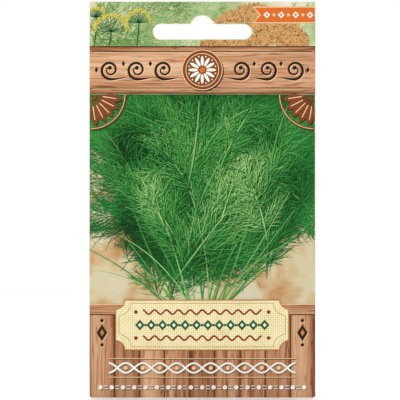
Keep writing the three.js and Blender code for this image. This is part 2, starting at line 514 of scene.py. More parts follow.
class Nodes:
    """A shader node tree that is being built."""

    def __init__(self, tree: bpy.types.NodeTree) -> None:
        """Hold the tree."""
        self.tree = tree

    def fill(self, node: bpy.types.Node, inputs: dict[str | int, Value]) -> None:
        """Link or set a node's inputs.

        Args:
            node: The node.
            inputs: Values by input name or number.
        """
        for name, value in inputs.items():
            if isinstance(value, Wire):
                self.tree.links.new(value.socket, node.inputs[name])
            else:
                node.inputs[name].default_value = value

    def add(
        self, kind: str, inputs: dict[str | int, Value], output: str | int = 0, **settings: object
    ) -> Wire:
        """Add a node, set it up and fill its inputs.

        Args:
            kind: The node's type name.
            inputs: Values by input name or number.
            output: Which output to give.
            **settings: The node's own settings.

        Returns:
            The output.
        """
        node = self.tree.nodes.new(kind)
        for name, value in settings.items():
            setattr(node, name, value)
        self.fill(node, inputs)
        return Wire(self, node.outputs[output])

    def group(self, tree: bpy.types.NodeTree, inputs: dict[str, Value], output: str) -> Wire:
        """Place a node group with values of its own and give one of its outputs."""
        return self.add("ShaderNodeGroup", inputs, output, node_tree=tree)

    def object_place(self) -> Wire:
        """Give the place on the object."""
        return self.add("ShaderNodeTexCoord", {}, "Object")

    def map_place(self) -> tuple[Wire, Wire]:
        """Give the u and the v of the mesh's map."""
        return self.add("ShaderNodeUVMap", {}, uv_map=BAKE_MAP).axes("Y")


def make_group(
    name: str, inputs: dict[str, float | None], make: Callable[[Wires], Wires]
) -> bpy.types.NodeTree:
    """Make a shader node group.

    Args:
        name: The group's name.
        inputs: Each input's default number, or None for a vector.
        make: Gives the outputs by name for the inputs by name.

    Returns:
        The group.
    """
    tree = bpy.data.node_groups.new(name, "ShaderNodeTree")
    for title, default in inputs.items():
        kind = "NodeSocketVector" if default is None else "NodeSocketFloat"
        socket = tree.interface.new_socket(name=title, in_out="INPUT", socket_type=kind)
        if default is not None:
            socket.default_value = default
    nodes, source = Nodes(tree), tree.nodes.new("NodeGroupInput")
    made = make({title: Wire(nodes, source.outputs[title]) for title in inputs})
    for title in made:
        tree.interface.new_socket(name=title, in_out="OUTPUT", socket_type="NodeSocketFloat")
    nodes.fill(tree.nodes.new("NodeGroupOutput"), made)
    return tree


class Effects:
    """The shader node groups that several finishes share."""

    def __init__(self) -> None:
        """Build every group once."""
        grain = {"Place": None, "Fibre Scale": 2600.0, "Roughness": 0.45}
        boards = {"Along": 0.0, "Across": 0.0, "Board Width": 0.009}
        spots, wear = {"Place": None, "Spot Scale": 160.0}, {"Place": None, "Half Width": 0.04}
        self.paper_grain = make_group("paper_grain", grain, self.grain)
        self.board_grain = make_group("board_grain", boards, self.boards)
        self.soft_blobs = make_group("soft_blobs", spots, self.blobs)
        self.fold_wear = make_group("fold_wear", wear, self.wear)

    def grain(self, given: Wires) -> Wires:
        """Make the fine fibre grain of coated paper.

        Args:
            given: The group's inputs by name.

        Returns:
            Its outputs by name.
        """
        place, scale = given["Place"], given["Fibre Scale"]
        cloud = place.noise(scale * 0.05)
        rough = given["Roughness"] + (cloud - 0.5) * 0.22
        return {"Height": place.noise(scale, 4.0) + cloud * 0.6, "Roughness": rough}

    def boards(self, given: Wires) -> Wires:
        """Make long wood grain, a tone for each board and the dark gaps between boards.

        Args:
            given: The group's inputs by name.

        Returns:
            Its outputs by name.
        """
        along, across = given["Along"], given["Across"]
        board = across / given["Board Width"]
        number, nodes = {"W": board.math("FLOOR")}, along.nodes
        tone = nodes.add("ShaderNodeTexWhiteNoise", number, "Value", noise_dimensions="1D")
        shift = tone * 40.0
        stretched = {"X": along * 34.0 + shift, "Y": across * 720.0, "Z": shift}
        place = nodes.add("ShaderNodeCombineXYZ", stretched)
        vein = abs(place.noise(0.75, 2.0, 0.7) - 0.5).step(0.0, 0.035)
        patches, fine = place.noise(0.3, 3.0, 0.5), place.noise(3.4, 4.0, 0.2)
        from_middle = abs(board.math("FRACT") - 0.5)
        grain = patches * 0.85 + fine * 0.4 - 0.275 + vein * 0.22
        worn = grain - from_middle.step(0.24, 0.5) * 0.2
        return {"Grain": worn, "Tone": tone, "Gap": from_middle.step(0.455, 0.49)}

    def blobs(self, given: Wires) -> Wires:
        """Make the round, out-of-focus spots and the slow cloud of a printed background.

        Args:
            given: The group's inputs by name.

        Returns:
            Its outputs by name.
        """
        place, scale = given["Place"], given["Spot Scale"]
        flatten, nodes = {0: place, 1: (1, 0, 1)}, place.nodes
        flat = nodes.add("ShaderNodeVectorMath", flatten, operation="MULTIPLY")
        cells = nodes.add("ShaderNodeTexVoronoi", {"Vector": flat, "Scale": scale}, "Distance")
        size = nodes.add("ShaderNodeSeparateColor", {"Color": cells.beside("Color")})
        spots = (size * 0.34 + 0.1 - cells).step(-0.02, 0.06)
        return {"Spots": spots, "Cloud": flat.noise(scale * 0.35, 2.0, 0.4)}

    def wear(self, given: Wires) -> Wires:
        """Make the pale rubs where the print cracks along the side folds.

        Args:
            given: The group's inputs by name.

        Returns:
            Its outputs by name.
        """
        place = given["Place"]
        from_fold = given["Half Width"] - abs(place.axes()[0])
        rub = place.noise(2400.0, 4.0) * 0.5 + place.noise(150.0, 3.0)
        return {"Wear": (rub - from_fold * 1500.0 - 0.62).step(0.0, 0.2)}


@dataclass(frozen=True)
class Sheen:
    """How a finish catches the light."""

    roughness: float = 0.5
    specular: float = 0.14
    coat: float = 0.0
    coat_roughness: float = 0.3
    fibre_scale: float = 2600.0
    bump: float = 0.12
    bump_depth: float = 0.00004


@dataclass(frozen=True)
class Finish:
    """A finish whose colour a subclass works out over the surface."""

    name: str
    effects: Effects
    sheen: Sheen = Sheen()
    worn_width: float = 0.0
    bare: Rgb = (240, 234, 220)

    def color(self, place: Wire) -> Wire:
        """Give the colour over the surface."""
        raise NotImplementedError

    def height(self, place: Wire, grain: Wire) -> Wire:
        """Give the height that feeds the bump: the paper's grain, or more in a subclass."""
        return grain

    def material(self) -> Material:
        """Make the material.

        Returns:
            A material with its colour, roughness and bump worked out by nodes.
        """
        made = bpy.data.materials.new(self.name)
        made.use_nodes = True
        nodes, sheen = Nodes(made.node_tree), self.sheen
        place = nodes.object_place()
        fibre = {"Place": place, "Fibre Scale": sheen.fibre_scale, "Roughness": sheen.roughness}
        grain = nodes.group(self.effects.paper_grain, fibre, "Height")
        bump = {"Strength": sheen.bump, "Distance": sheen.bump_depth}
        bump["Height"] = self.height(place, grain)
        color = self.color(place)
        if self.worn_width:
            fold = {"Place": place, "Half Width": self.worn_width}
            worn = nodes.group(self.effects.fold_wear, fold, "Wear")
            color = (worn * 0.7).mixed(color, ink(self.bare))
        inputs = {
            "Base Color": color,
            "Roughness": grain.beside("Roughness"),
            "Normal": nodes.add("ShaderNodeBump", bump, "Normal"),
            "Specular IOR Level": sheen.specular,
            "Coat Weight": sheen.coat,
            "Coat Roughness": sheen.coat_roughness,
        }
        nodes.fill(nodes.tree.nodes["Principled BSDF"], inputs)
        return made


@dataclass(frozen=True)
class ToneFinish(Finish):
    """Plain stock with a slow, faint change of tone."""

    dark: Rgb = (228, 222, 204)
    light: Rgb = (244, 240, 228)
    cloud_scale: float = 60.0

    def color(self, place: Wire) -> Wire:
        """Give the tone over the surface."""
        return place.noise(self.cloud_scale, 5.0).ramp([(0.35, self.dark), (0.65, self.light)])


@dataclass(frozen=True)
class HeaderFinish(Finish):
    """The out-of-focus cream and pale green behind the header's sprigs and seeds."""

    spot_scale: float = 150.0
    spot_share: float = 0.28
    spot_color: Rgb = (238, 240, 214)
    stops: Stops = (
        (0.3, (150, 172, 108)),
        (0.45, (192, 203, 150)),
        (0.58, (224, 220, 184)),
        (0.75, (236, 228, 202)),
    )

    def color(self, place: Wire) -> Wire:
        """Give the header's soft background.

        Args:
            place: The place on the surface.

        Returns:
            The colour.
        """
        inputs = {"Place": place, "Spot Scale": self.spot_scale}
        cloud = place.nodes.group(self.effects.soft_blobs, inputs, "Cloud")
        share = cloud.beside("Spots") * self.spot_share
        return share.mixed(cloud.ramp(self.stops), ink(self.spot_color))


@dataclass(frozen=True)
class WoodFinish(Finish):
    """Printed boards with grain, tone from board to board and dark gaps between them."""

    grain: Grain = Grain.ACROSS
    board_width: float = 0.009
    board_start: float = 0.0
    gap_color: Rgb = (84, 52, 30)
    tones: tuple[Rgb, Rgb] = ((206, 190, 178), (255, 252, 246))
    stops: Stops = (
        (0.14, (116, 70, 40)),
        (0.34, (172, 116, 80)),
        (0.5, (206, 154, 116)),
        (0.72, (232, 192, 156)),
    )

    def color(self, place: Wire) -> Wire:
        """Give the boards' colour.

        Args:
            place: The place on the surface.

        Returns:
            The colour.
        """
        along, across = place.axes() if self.grain is Grain.ACROSS else place.axes()[::-1]
        inputs = {"Along": along, "Across": across - self.board_start}
        inputs["Board Width"] = self.board_width
        grain = place.nodes.group(self.effects.board_grain, inputs, "Grain")
        tone = grain.beside("Tone").ramp(list(enumerate(self.tones)))
        toned = grain.ramp(self.stops).tinted(tone)
        return grain.beside("Gap").mixed(toned, ink(self.gap_color))


@dataclass(frozen=True)
class PictureGroundFinish(Finish):
    """Warm pale ground that turns to deep green shade in the middle of the clump."""

    centre: Place = (0.0, -0.060)
    reach: Place = (0.034, 0.031)
    power: float = 2.4
    shade: Stops = ((0.3, (8, 30, 14)), (0.5, (18, 56, 24)), (0.72, (40, 88, 40)))
    warm: Stops = (
        (0.32, (196, 146, 100)),
        (0.42, (206, 172, 126)),
        (0.54, (216, 203, 164)),
        (0.74, (216, 210, 186)),
    )

    def color(self, place: Wire) -> Wire:
        """Give the ground's colour.

        Args:
            place: The place on the surface.

        Returns:
            The colour.
        """
        shares = [
            abs((axis - middle) / reach) ** self.power
            for axis, middle, reach in zip(place.axes(), self.centre, self.reach)
        ]
        ragged = (shares[0] + shares[1]) ** 0.5 + place.noise(210.0, 4.0, 0.6) * 0.5
        shade = place.noise(420.0, 4.0, 0.8).ramp(self.shade)
        warm = place.noise(90.0, 4.0, 0.3).ramp(self.warm)
        return ragged.step(1.02, 1.36).mixed(shade, warm)


@dataclass(frozen=True)
class ClothFinish(Finish):
    """Printed linen: a plain weave of cream and straw threads."""

    thread: float = 0.00074
    stops: Stops = (
        (0.05, (184, 160, 100)),
        (0.32, (234, 214, 152)),
        (0.6, (250, 236, 182)),
        (0.92, (255, 250, 218)),
    )

    def weave(self, place: Wire) -> tuple[Wire, Wire]:
        """Give the weave.

        Args:
            place: The place on the surface.

        Returns:
            Its height and which thread lies on top.
        """
        wobble, turn = place.noise(420.0) * 0.00035, math.pi / self.thread
        waves = [((axis + wobble) * turn).math("SINE") for axis in place.axes()]
        over = (waves[0] * waves[1]).step(-0.2, 0.2)
        inputs = {"Factor": over, 2: abs(waves[0]), 3: abs(waves[1])}
        return place.nodes.add("ShaderNodeMix", inputs, data_type="FLOAT"), over

    def color(self, place: Wire) -> Wire:
        """Give the cloth's colour."""
        height, over = self.weave(place)
        return (height * 0.75 + over * 0.16 + (place.noise(260.0, 3.0) * 0.4 - 0.2)).ramp(self.stops)

    def height(self, place: Wire, grain: Wire) -> Wire:
        """Give the paper's grain with a trace of the printed weave."""
        return grain + self.weave(place)[0] * 0.2


@dataclass(frozen=True)
class InkFinish(Finish):
    """Printed inks: the map holds each stroke's shade, and its way to the tip or its tone."""

    stops: Stops = ()
    tip_gain: float = 0.0
    tone: Rgb = (58, 40, 26)
    tone_share: float = 0.0

    def color(self, place: Wire) -> Wire:
        """Give each stroke's shade.

        Args:
            place: The place on the surface.

        Returns:
            The colour.
        """
        shade, tip = place.nodes.map_place()
        shown = (shade * (tip * self.tip_gain + 1.0)).ramp(self.stops)
        return (tip * self.tone_share).mixed(shown, ink(self.tone))


@dataclass(frozen=True)
class HuskFinish(Finish):
    """Ribbed brown husks with pale ribs, each seed with a tone of its own."""

    ribs: int = 6
    stops: Stops = ((0.1, (98, 70, 42)), (0.55, (146, 108, 66)), (0.9, (206, 174, 124)))
    tones: Stops = ((0.0, (190, 178, 160)), (1.0, (255, 250, 240)))

    def color(self, place: Wire) -> Wire:
        """Give the husk's colour from the seed's map.

        Args:
            place: The place on the surface.

        Returns:
            The colour.
        """
        turn, tone = place.nodes.map_place()
        rib = (turn * (self.ribs * math.tau)).math("COSINE") * 0.5 + 0.5
        return rib.ramp(self.stops).tinted(tone.ramp(self.tones))


class Ink(Enum):
    """The flat printed colours of the ornaments."""

    BARK = (48, 30, 19)
    RUST = (132, 70, 38)
    ORANGE = (226, 112, 40)
    PEACH = (252, 208, 160)
    CREAM = (255, 250, 238)
    LEAF = (20, 96, 48)
    WINE = (142, 34, 26)
    SEED = (232, 178, 112)
    STRAW = (196, 134, 70)
    SHADOW = (38, 52, 26)
    SKY = (112, 158, 186)
    MOSS = (112, 152, 74)
    GOLD = (236, 212, 92)

    @property
    def shade(self) -> float:
        """The ink's place along the ornaments' ramp."""
        return list(Ink).index(self) / (len(Ink) - 1)

    @classmethod
    def stops(cls) -> Stops:
        """Give the ramp that holds every ink."""
        return [(each.shade, each.value) for each in cls]


def outlines(
    centres: Array | Sequence,
    half_x: float | Array,
    half_z: float | Array,
    steps: int,
    turn: float | Array = 0.0,
) -> Array:
    """Give ellipses round a number of centres, or lozenges where they have four steps.

    Args:
        centres: The centres as (x, z) rows.
        half_x: Half of each width before it is turned.
        half_z: Half of each height before it is turned.
        steps: How many points each outline has.
        turn: How far each is turned, in radians.

    Returns:
        Outlines, as shapes by points by (x, z).
    """
    half = joined(half_x, half_z).reshape(-1, 1, 2)
    across, up = np.moveaxis(ways(math.tau * np.arange(steps) / steps) * half, -1, 0)
    cos, sin = np.moveaxis(ways(np.reshape(turn, (-1, 1))), -1, 0)
    turned = joined(across * cos - up * sin, across * sin + up * cos)
    return np.asarray(centres, float)[:, None, :] + turned


@dataclass
class Print:
    """Part of the packet's printing, which a subclass draws and builds piece by piece.

    Each piece is a mesh of strokes and shapes that lie on a panel. The pen has an ink, a distance
    from the panel and a shift, which hold for what is drawn next.
    """

    form: PacketForm
    behind = False
    map_spread = 0.002
    least_area = 2e-4

    def start(self, seed: int = 1) -> None:
        """Start an empty piece, with a seed for its small random changes of tone."""
        self.parts, self.faces, self.count, self.random = [], [], 0, default_rng(seed)
        self.tone, self.lift, self.shift = Ink.BARK, 0.0, (0.0, 0.0)

    def pen(self, tone: Ink, lift: float | Array | None = None) -> Print:
        """Take an ink, and a new distance from the panel if one is given."""
        self.tone, self.lift = tone, self.lift if lift is None else lift
        return self

    def down(self, depth: float | Array) -> float | Array:
        """Give the height that lies a depth below the packet's top edge."""
        return self.form.down(depth)

    def add(self, places: Array, lifts: float | Array, maps: Array, faces: Array) -> None:
        """Take in points and the faces between them.

        Args:
            places: Points, with (x, z) along the last axis.
            lifts: How far they stand off the panel.
            maps: Their shades and shares of the way to the tip.
            faces: Point numbers, one row for each face.
        """
        lifts, maps = np.broadcast_to(lifts, places.shape[:-1]), np.broadcast_to(maps, places.shape)
        flat = (places + self.shift).reshape(-1, 2), lifts.ravel(), maps.reshape(-1, 2)
        self.parts.append(flat)
        self.faces.append(faces + self.count)
        self.count += len(flat[0])

    def strokes(self, lines: Array, half_widths: Array, shades: Array, lifts: Array) -> None:
        """Take in strokes that end in a tip.

        Args:
            lines: Centre lines, as strokes by points by (x, z).
            half_widths: Half of the width at each point, as strokes by points.
            shades: Each stroke's shade from 0 to 1.
            lifts: Each stroke's distance from the panel.
        """
        run = np.gradient(lines, axis=1)
        run /= np.maximum(np.linalg.norm(run, axis=2, keepdims=True), 1e-9)
        beside = joined(-run[..., 1], run[..., 0]) * half_widths[..., None]
        edges = np.stack([lines + beside, lines - beside], 2)
        share = np.linspace(0.02, 0.98, lines.shape[1])
        maps = joined(shades[:, None], share)
        numbers = np.arange(edges.size // 2).reshape(edges.shape[:3])
        self.add(edges, lifts[:, None, None], maps[:, :, None], grid_faces(numbers))

    def lines(self, lines: Array | Sequence, half_width: float | Array) -> None:
        """Take in lines in the pen's ink.

        Args:
            lines: One line as (x, z) rows, or several with as many points.
            half_width: Half of their width, or one at each point.
        """
        lines = np.reshape(lines, (-1, *np.shape(lines)[-2:]))
        each = np.ones(len(lines))
        widths = np.broadcast_to(half_width, lines.shape[:2])
        self.strokes(lines, widths, each * self.tone.shade, each * self.lift)

    def rings(self, shapes: Array, half_width: float) -> None:
        """Take in closed lines along outlines."""
        self.lines(np.concatenate([shapes, shapes[:, :1]], 1), half_width)

    def spots(self, *shape: Array | Sequence | float) -> None:
        """Take in ellipses or lozenges in the pen's ink, from what outlines() takes."""
        self.fans(outlines(*shape))

    def fans(self, shapes: Array) -> None:
        """Take in closed shapes in the pen's ink, as fans round their middles.

        Args:
            shapes: Outlines, as shapes by points by (x, z).
        """
        count, points = shapes.shape[:2]
        places = np.concatenate([shapes.mean(1, keepdims=True), shapes], 1)
        tones = self.random.uniform(0.02, 0.98, count)
        maps = joined(self.tone.shade, tones)
        numbers = np.arange(count * (points + 1)).reshape(count, points + 1)
        faces = joined(numbers[:, :1], numbers[:, 1:], np.roll(numbers[:, 1:], -1, 1))
        self.add(places, np.reshape(self.lift, (-1, 1)), maps[:, None], faces.reshape(-1, 3))

    def skin(self, left: Array, right: Array, columns: int) -> None:
        """Take in a shape in the pen's ink, as rows of faces between its two sides.

        Args:
            left: The left side's points from the bottom up, as (x, z) rows.
            right: The right side's points at the same heights.
            columns: How many faces each row has.
        """
        share = np.linspace(0, 1, columns + 1)[:, None]
        places = left[:, None] * (1 - share) + right[:, None] * share
        numbers = np.arange(places.size // 2).reshape(places.shape[:2])
        self.add(places, self.lift, np.array([self.tone.shade, 0.3]), grid_faces(numbers))

    def disc(self, centre: Array, radius: float) -> None:
        """Take in a disc as rows of faces, which keep to a curved panel."""
        right = ways(np.linspace(-np.pi / 2, np.pi / 2, 49)) * radius
        self.skin(centre + right * (-1, 1), centre + right, 16)

    def finish(
        self, name: str, material: Material, bounds: Bounds, flat_map: bool = False
    ) -> None:
        """Make the piece from what was drawn.

        Args:
            name: The piece's name.
            material: Its material.
            bounds: The least and greatest x, then the least and greatest z, that it keeps to.
            flat_map: Whether the map follows the place rather than the shade.
        """
        places, lifts, spots = (np.concatenate(part) for part in zip(*self.parts))
        low, high = np.reshape(bounds, (2, 2)).T
        places = places.clip(low, high)
        kept = [self.whole(faces, places) for faces in self.faces]
        used = np.unique(np.concatenate([faces.ravel() for faces in kept]))
        (x, z), lifts = places[used].T, lifts[used]
        y = self.form.back(x, z) + lifts if self.behind else self.form.front(x, z) - lifts
        rows = [row for faces in kept for row in np.searchsorted(used, faces).tolist()]
        made = make_object(name, joined(x, y, z), rows, [material])
        spread = self.map_spread
        if flat_map:
            spread, spots = 0.0, (places - low) / (high - low) * 0.98 + 0.01
        corners = []
        for faces in kept:
            turn = math.tau * np.arange(faces.shape[1]) / faces.shape[1]
            corners.append((spots[faces] + spread * ways(turn)).reshape(-1, 2))
        write_map(made.data, np.concatenate(corners))
        settle_piece(made, Slot.PAPER)

    def whole(self, faces: Array, places: Array) -> Array:
        """Keep the faces that have an area and stay clear of the hang slot, turned outwards.

        Args:
            faces: Point numbers, one row for each face.
            places: Every point as (x, z) rows.

        Returns:
            The kept faces' point numbers.
        """
        corners, slot = places[faces], SlotOutline(self.form)
        after = np.roll(corners, -1, axis=1)
        area = np.sum(corners[..., 0] * after[..., 1] - after[..., 0] * corners[..., 1], 1) / 2
        kept = np.abs(area) > self.least_area
        for spots in (corners, (corners + after) / 2, corners.mean(1, keepdims=True)):
            kept &= ~slot.holds(spots).any(1)
        turned = area > 0 if self.behind else area < 0
        return np.where(turned[:, None], faces[:, ::-1], faces)[kept]


@dataclass
class PacketPaper:
    """The folded sheet with its slot: front, back, seam flap and bottom flap."""

    form: PacketForm
    effects: Effects
    columns: int = 98
    flap_columns: int = 14
    fold_steps: int = 5
    row_height: float = 0.85
    crease_angle: float = 0.85
    punch_reach: float = 2.0
    front_zones: Zones = (
        (15.7, Zone.HEADER),
        (32.6, Zone.BAND),
        (107.4, Zone.PICTURE),
        (math.inf, Zone.FOOT),
    )
    back_zones: Zones = ((15.7, Zone.HEADER), (24.0, Zone.BAND), (math.inf, Zone.BACK))

    def path(self) -> tuple[Array, Array, tuple[int, int]]:
        """Give the folded section, from the seam flap round to the back's free edge.

        Returns:
            The outside points, the inside points, and the first and last number of the front
            panel's points.
        """
        form = self.form
        near = np.array([0.0, 0.14, 0.45])
        middle = np.linspace(-form.fold_x + 1, form.fold_x - 1, self.columns)
        front = np.concatenate([-form.fold_x + near, middle, form.fold_x - near[::-1]])
        back = front[::-1].copy()
        back[-2:] = form.edge_margin - form.half_width + np.array([0.12, 0.0])
        flap = np.linspace(form.seam_flap_x, -form.fold_x, self.flap_columns)
        turn = np.pi * np.arange(1, self.fold_steps) / self.fold_steps
        layers = []
        for depth in (form.outer, form.inner):
            right, lifted = (form.fold_x, 0) + depth * ways(turn - np.pi / 2), form.seam_lift(back)
            parts = joined(flap, depth), -right, joined(front, -depth), right
            layers.append(np.concatenate([*parts, joined(back, depth + lifted)]))
        first = len(flap) + len(turn)
        return layers[0], layers[1], (first, first + len(front) - 1)

    def rows(self) -> Array:
        """Lay out the rows of points, with one at each edge between printed zones.

        Returns:
            Their heights.
        """
        form = self.form
        depths = {depth for depth, _ in self.front_zones + self.back_zones if depth < math.inf}
        stops = sorted([form.tube_bottom, *map(form.down, depths), form.top])
        parts = [
            np.linspace(low, high, max(1, round((high - low) / self.row_height)), endpoint=False)
            for low, high in zip(stops, stops[1:])
        ]
        return np.concatenate([*parts, [form.top]])

    def filled(self, points: Array, side: Array, heights: Array) -> Array:
        """Fill the flat section out to the packet's shape at each height.

        Args:
            points: The section's points as (x, y) rows.
            side: -1 for each point in front and 1 for each behind.
            heights: The rows' heights.

        Returns:
            Points, as rows by points by (x, y, z).
        """
        form = self.form
        x, z = points[:, 0], heights[:, None]
        front, back = form.relief(x, z, form.front_seed), form.relief(x, z, form.back_seed)
        out = form.pillow(x, z) + np.where(side < 0, front, back)
        return joined(x, points[:, 1] + side * out, z)

    def zone_numbers(self, heights: Array, zones: Zones) -> Array:
        """Give the number of the zone that each height lies in."""
        depths, kinds = np.array([(depth, zone.value) for depth, zone in zones]).T
        return kinds.astype(int)[np.searchsorted(depths, self.form.down(heights))]

    def bottom_flap(self, x: Array) -> list[Array]:
        """Give the outside and inside of the flap that turns under and climbs the back.

        Args:
            x: The places across of the front panel's points that the flap continues.

        Returns:
            Two arrays, each as rows by points by (x, y, z).
        """
        form = self.form
        centre = form.fold_inner + form.paper - form.outer
        turn = np.pi * np.arange(1, 9) / 8
        climb = np.linspace(0, form.bottom + form.bottom_flap_height - form.tube_bottom, 18)[1:]
        side = np.concatenate([-np.cos(turn), np.ones(len(climb))])[:, None]
        drop = np.concatenate([np.sin(turn), np.zeros(len(climb))])
        up = np.concatenate([np.zeros(len(turn)), climb])
        inset = form.bottom_flap_taper * up[:, None] / form.bottom_flap_height
        across = x * (1 - inset / form.half_width)
        layers = []
        for radius in (form.fold_inner + form.paper, form.fold_inner):
            z = (form.tube_bottom + up - radius * drop)[:, None]
            out = form.pillow(across, z) * side + form.seam_lift(across) * (side + 1) / 2
            out += form.relief(across, z, form.back_seed) * (side >= 1)
            layers.append(joined(across, centre + radius * side + out, z))
        return layers

    def sheet(self, materials: list[Material]) -> Piece:
        """Build the closed sheet, before the slot is cut.

        Args:
            materials: The zones' materials.

        Returns:
            The sheet, with each face's zone as its material number.
        """
        outside, inside, (first, last) = self.path()
        side = np.where(outside[:, 1] < 0, -1, 1)
        heights = self.rows()
        reach = self.form.half_width - self.form.edge_margin
        flap = [n for n in range(first, last + 1) if abs(outside[n, 0]) <= reach]
        layers = [self.filled(layer, side, heights) for layer in (outside, inside)]
        layers += self.bottom_flap(outside[flap, 0])
        starts = np.cumsum([0] + [layer.size // 3 for layer in layers])
        out, within, flap_out, flap_in = (
            start + np.arange(layer.size // 3).reshape(layer.shape[:2])
            for start, layer in zip(starts, layers)
        )
        flap_out = np.concatenate([out[:1, flap], flap_out])
        flap_in = np.concatenate([within[:1, flap], flap_in])
        middle = (heights[:-1] + heights[1:])[:, None] / 2
        column = np.arange(len(outside) - 1)
        front, back = (self.zone_numbers(middle, zones) for zones in (self.front_zones, self.back_zones))
        hidden = Zone.INSIDE.value
        kinds = np.where(column < first, hidden, np.where(column <= last, front, back))
        grids = [(out, kinds), (within, hidden), (flap_out, Zone.FOOT.value), (flap_in, hidden)]
        tube, climb = np.stack([out, within]), np.stack([flap_out, flap_in])
        rims = [tube[:, 0, : flap[0] + 1], tube[:, 0, flap[-1] :]]
        for walls in (tube, climb):
            rims += [walls[:, -1], walls[:, :, 0], walls[:, :, -1]]
        grids += [(rim, Zone.EDGE.value) for rim in rims]
        faces = np.concatenate([grid_faces(numbers) for numbers, _ in grids])
        marks = [
            np.broadcast_to(kind, (len(numbers) - 1, numbers.shape[1] - 1)).ravel()
            for numbers, kind in grids
        ]
        points = np.concatenate([layer.reshape(-1, 3) for layer in layers])
        made = make_object("packet_sheet", points, faces.tolist(), materials)
        made.data.polygons.foreach_set("material_index", np.concatenate(marks).astype(np.int32))
        face_outwards(made.data)
        return made

    def punch(self, materials: list[Material]) -> Piece:
        """Make the punch that cuts the slot through both panels.

        Args:
            materials: The zones' materials.

        Returns:
            The punch.
        """
        outline, reach = SlotOutline(self.form).points(), self.punch_reach
        count = len(outline)
        points = np.concatenate([np.insert(outline, 1, y, axis=1) for y in (-reach, reach)])
        faces = [(n, (n + 1) % count, (n + 1) % count + count, n + count) for n in range(count)]
        faces += [tuple(range(count)), tuple(range(count, 2 * count))]
        made = make_object("slot_punch", points, faces, materials)
        for face in made.data.polygons:
            face.material_index = Zone.EDGE.value
        face_outwards(made.data)
        return made

    def finishes(self) -> list[Material]:
        """Make the sheet's materials.

        Returns:
            The materials in the order of the zones.
        """
        effects, half = self.effects, self.form.half_width * MM
        (band_top, _), (band_bottom, _) = self.front_zones[:2]
        plain = Sheen(roughness=0.7, bump=0.25, fibre_scale=1900.0)
        makers = {
            Zone.INSIDE: ToneFinish("paper_inside", effects, plain),
            Zone.HEADER: HeaderFinish("print_header", effects, worn_width=half),
            Zone.BAND: WoodFinish(
                "print_band",
                effects,
                worn_width=half,
                board_width=(band_bottom - band_top) * MM,
                board_start=self.form.down(band_top) * MM,
                tones=((255, 252, 246), (255, 255, 255)),
            ),
            Zone.PICTURE: PictureGroundFinish("print_picture_ground", effects, worn_width=half),
            Zone.FOOT: WoodFinish(
                "print_foot",
                effects,
                worn_width=half,
                grain=Grain.UPRIGHT,
                board_width=2 * half / 9,
                board_start=-half,
            ),
            Zone.BACK: ToneFinish("print_back", effects, dark=(241, 236, 214), light=(247, 243, 226)),
            Zone.EDGE: ToneFinish("paper_edge", effects, plain, light=(250, 248, 240)),
        }
        return [makers[zone].material() for zone in Zone]

    def lay_out(self, mesh: bpy.types.Mesh) -> None:
        """Give the sheet its map: front at the left, back at the right, the rest below.

        Args:
            mesh: The sheet.
        """
        form, spots = self.form, []
        for face in mesh.polygons:
            zone, behind = Zone(face.material_index), face.normal.y > 0
            plain, flap = zone in (Zone.INSIDE, Zone.EDGE), behind and zone is Zone.FOOT
            start = np.array([0.515 if plain or behind and not flap else 0.005, 0.075])
            reach = np.array([0.48, 0.92])
            if plain or flap:
                start[1], reach[1] = 0.005, 0.055
            places = np.array([mesh.vertices[number].co.xz for number in face.vertices]) / MM
            whole = form.bottom_flap_height if flap else form.top - form.bottom
            share = (places + (form.half_width, -form.bottom)) / (2 * form.half_width, whole)
            spots.append(start + reach * share.clip(0, 1))
        write_map(mesh, np.concatenate(spots))

    def build(self) -> None:
        """Make the folded, slotted and dressed sheet, which stands for the frame's paper."""
        materials = self.finishes()
        sheet, punch = self.sheet(materials), self.punch(materials)
        cut = sheet.modifiers.new("slot", "BOOLEAN")
        cut.operation, cut.solver, cut.object = "DIFFERENCE", "EXACT", punch
        depsgraph = bpy.context.evaluated_depsgraph_get()
        sheet_mesh = bpy.data.meshes.new_from_object(sheet.evaluated_get(depsgraph))
        sheet.modifiers.clear()
        sheet.data = sheet_mesh
        bpy.data.objects.remove(punch)
        self.lay_out(sheet_mesh)
        sheet_mesh.shade_smooth()
        sheet_mesh.set_sharp_from_angle(angle=self.crease_angle)
        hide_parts("packet_paper")
        settle_piece(sheet, Slot.PAPER)


@dataclass(frozen=True)
class Stem:
    """Many curved stems at once: their bases, headings, lengths, bends, shades and lifts."""

    base: Array
    heading: Array
    length: Array
    bend: Array
    shade: Array
    lift: Array

    def at(self, share: Array | float) -> tuple[Array, Array]:
        """Give the places and headings at a share of the way along."""
        way = ways(self.heading + self.bend * share / 2)
        return self.base + way * (self.length * share)[..., None], self.heading + self.bend * share

    def lines(self, points: int) -> Array:
        """Give the stems' centre lines, one row for each stem."""
        lines = np.stack([self.at(share)[0] for share in np.linspace(0, 1, points)], -2)
        return lines.reshape(-1, points, 2)

    def grown(self, axes: int) -> Stem:
        """Make room for side stems.

        Args:
            axes: How many axes to add.

        Returns:
            The same stems with the new axes.
        """
        deeper = (..., *(None,) * axes)
        base, *rest = vars(self).values()
        return Stem(base[(*deeper, slice(None))], *(each[deeper] for each in rest))


def clouded(shades: Array, x: Array, z: Array) -> Array:
    """Add slow changes over the panel to the strokes' shades."""
    return shades + 0.13 * soft_noise(x, z, 8.5, 31)


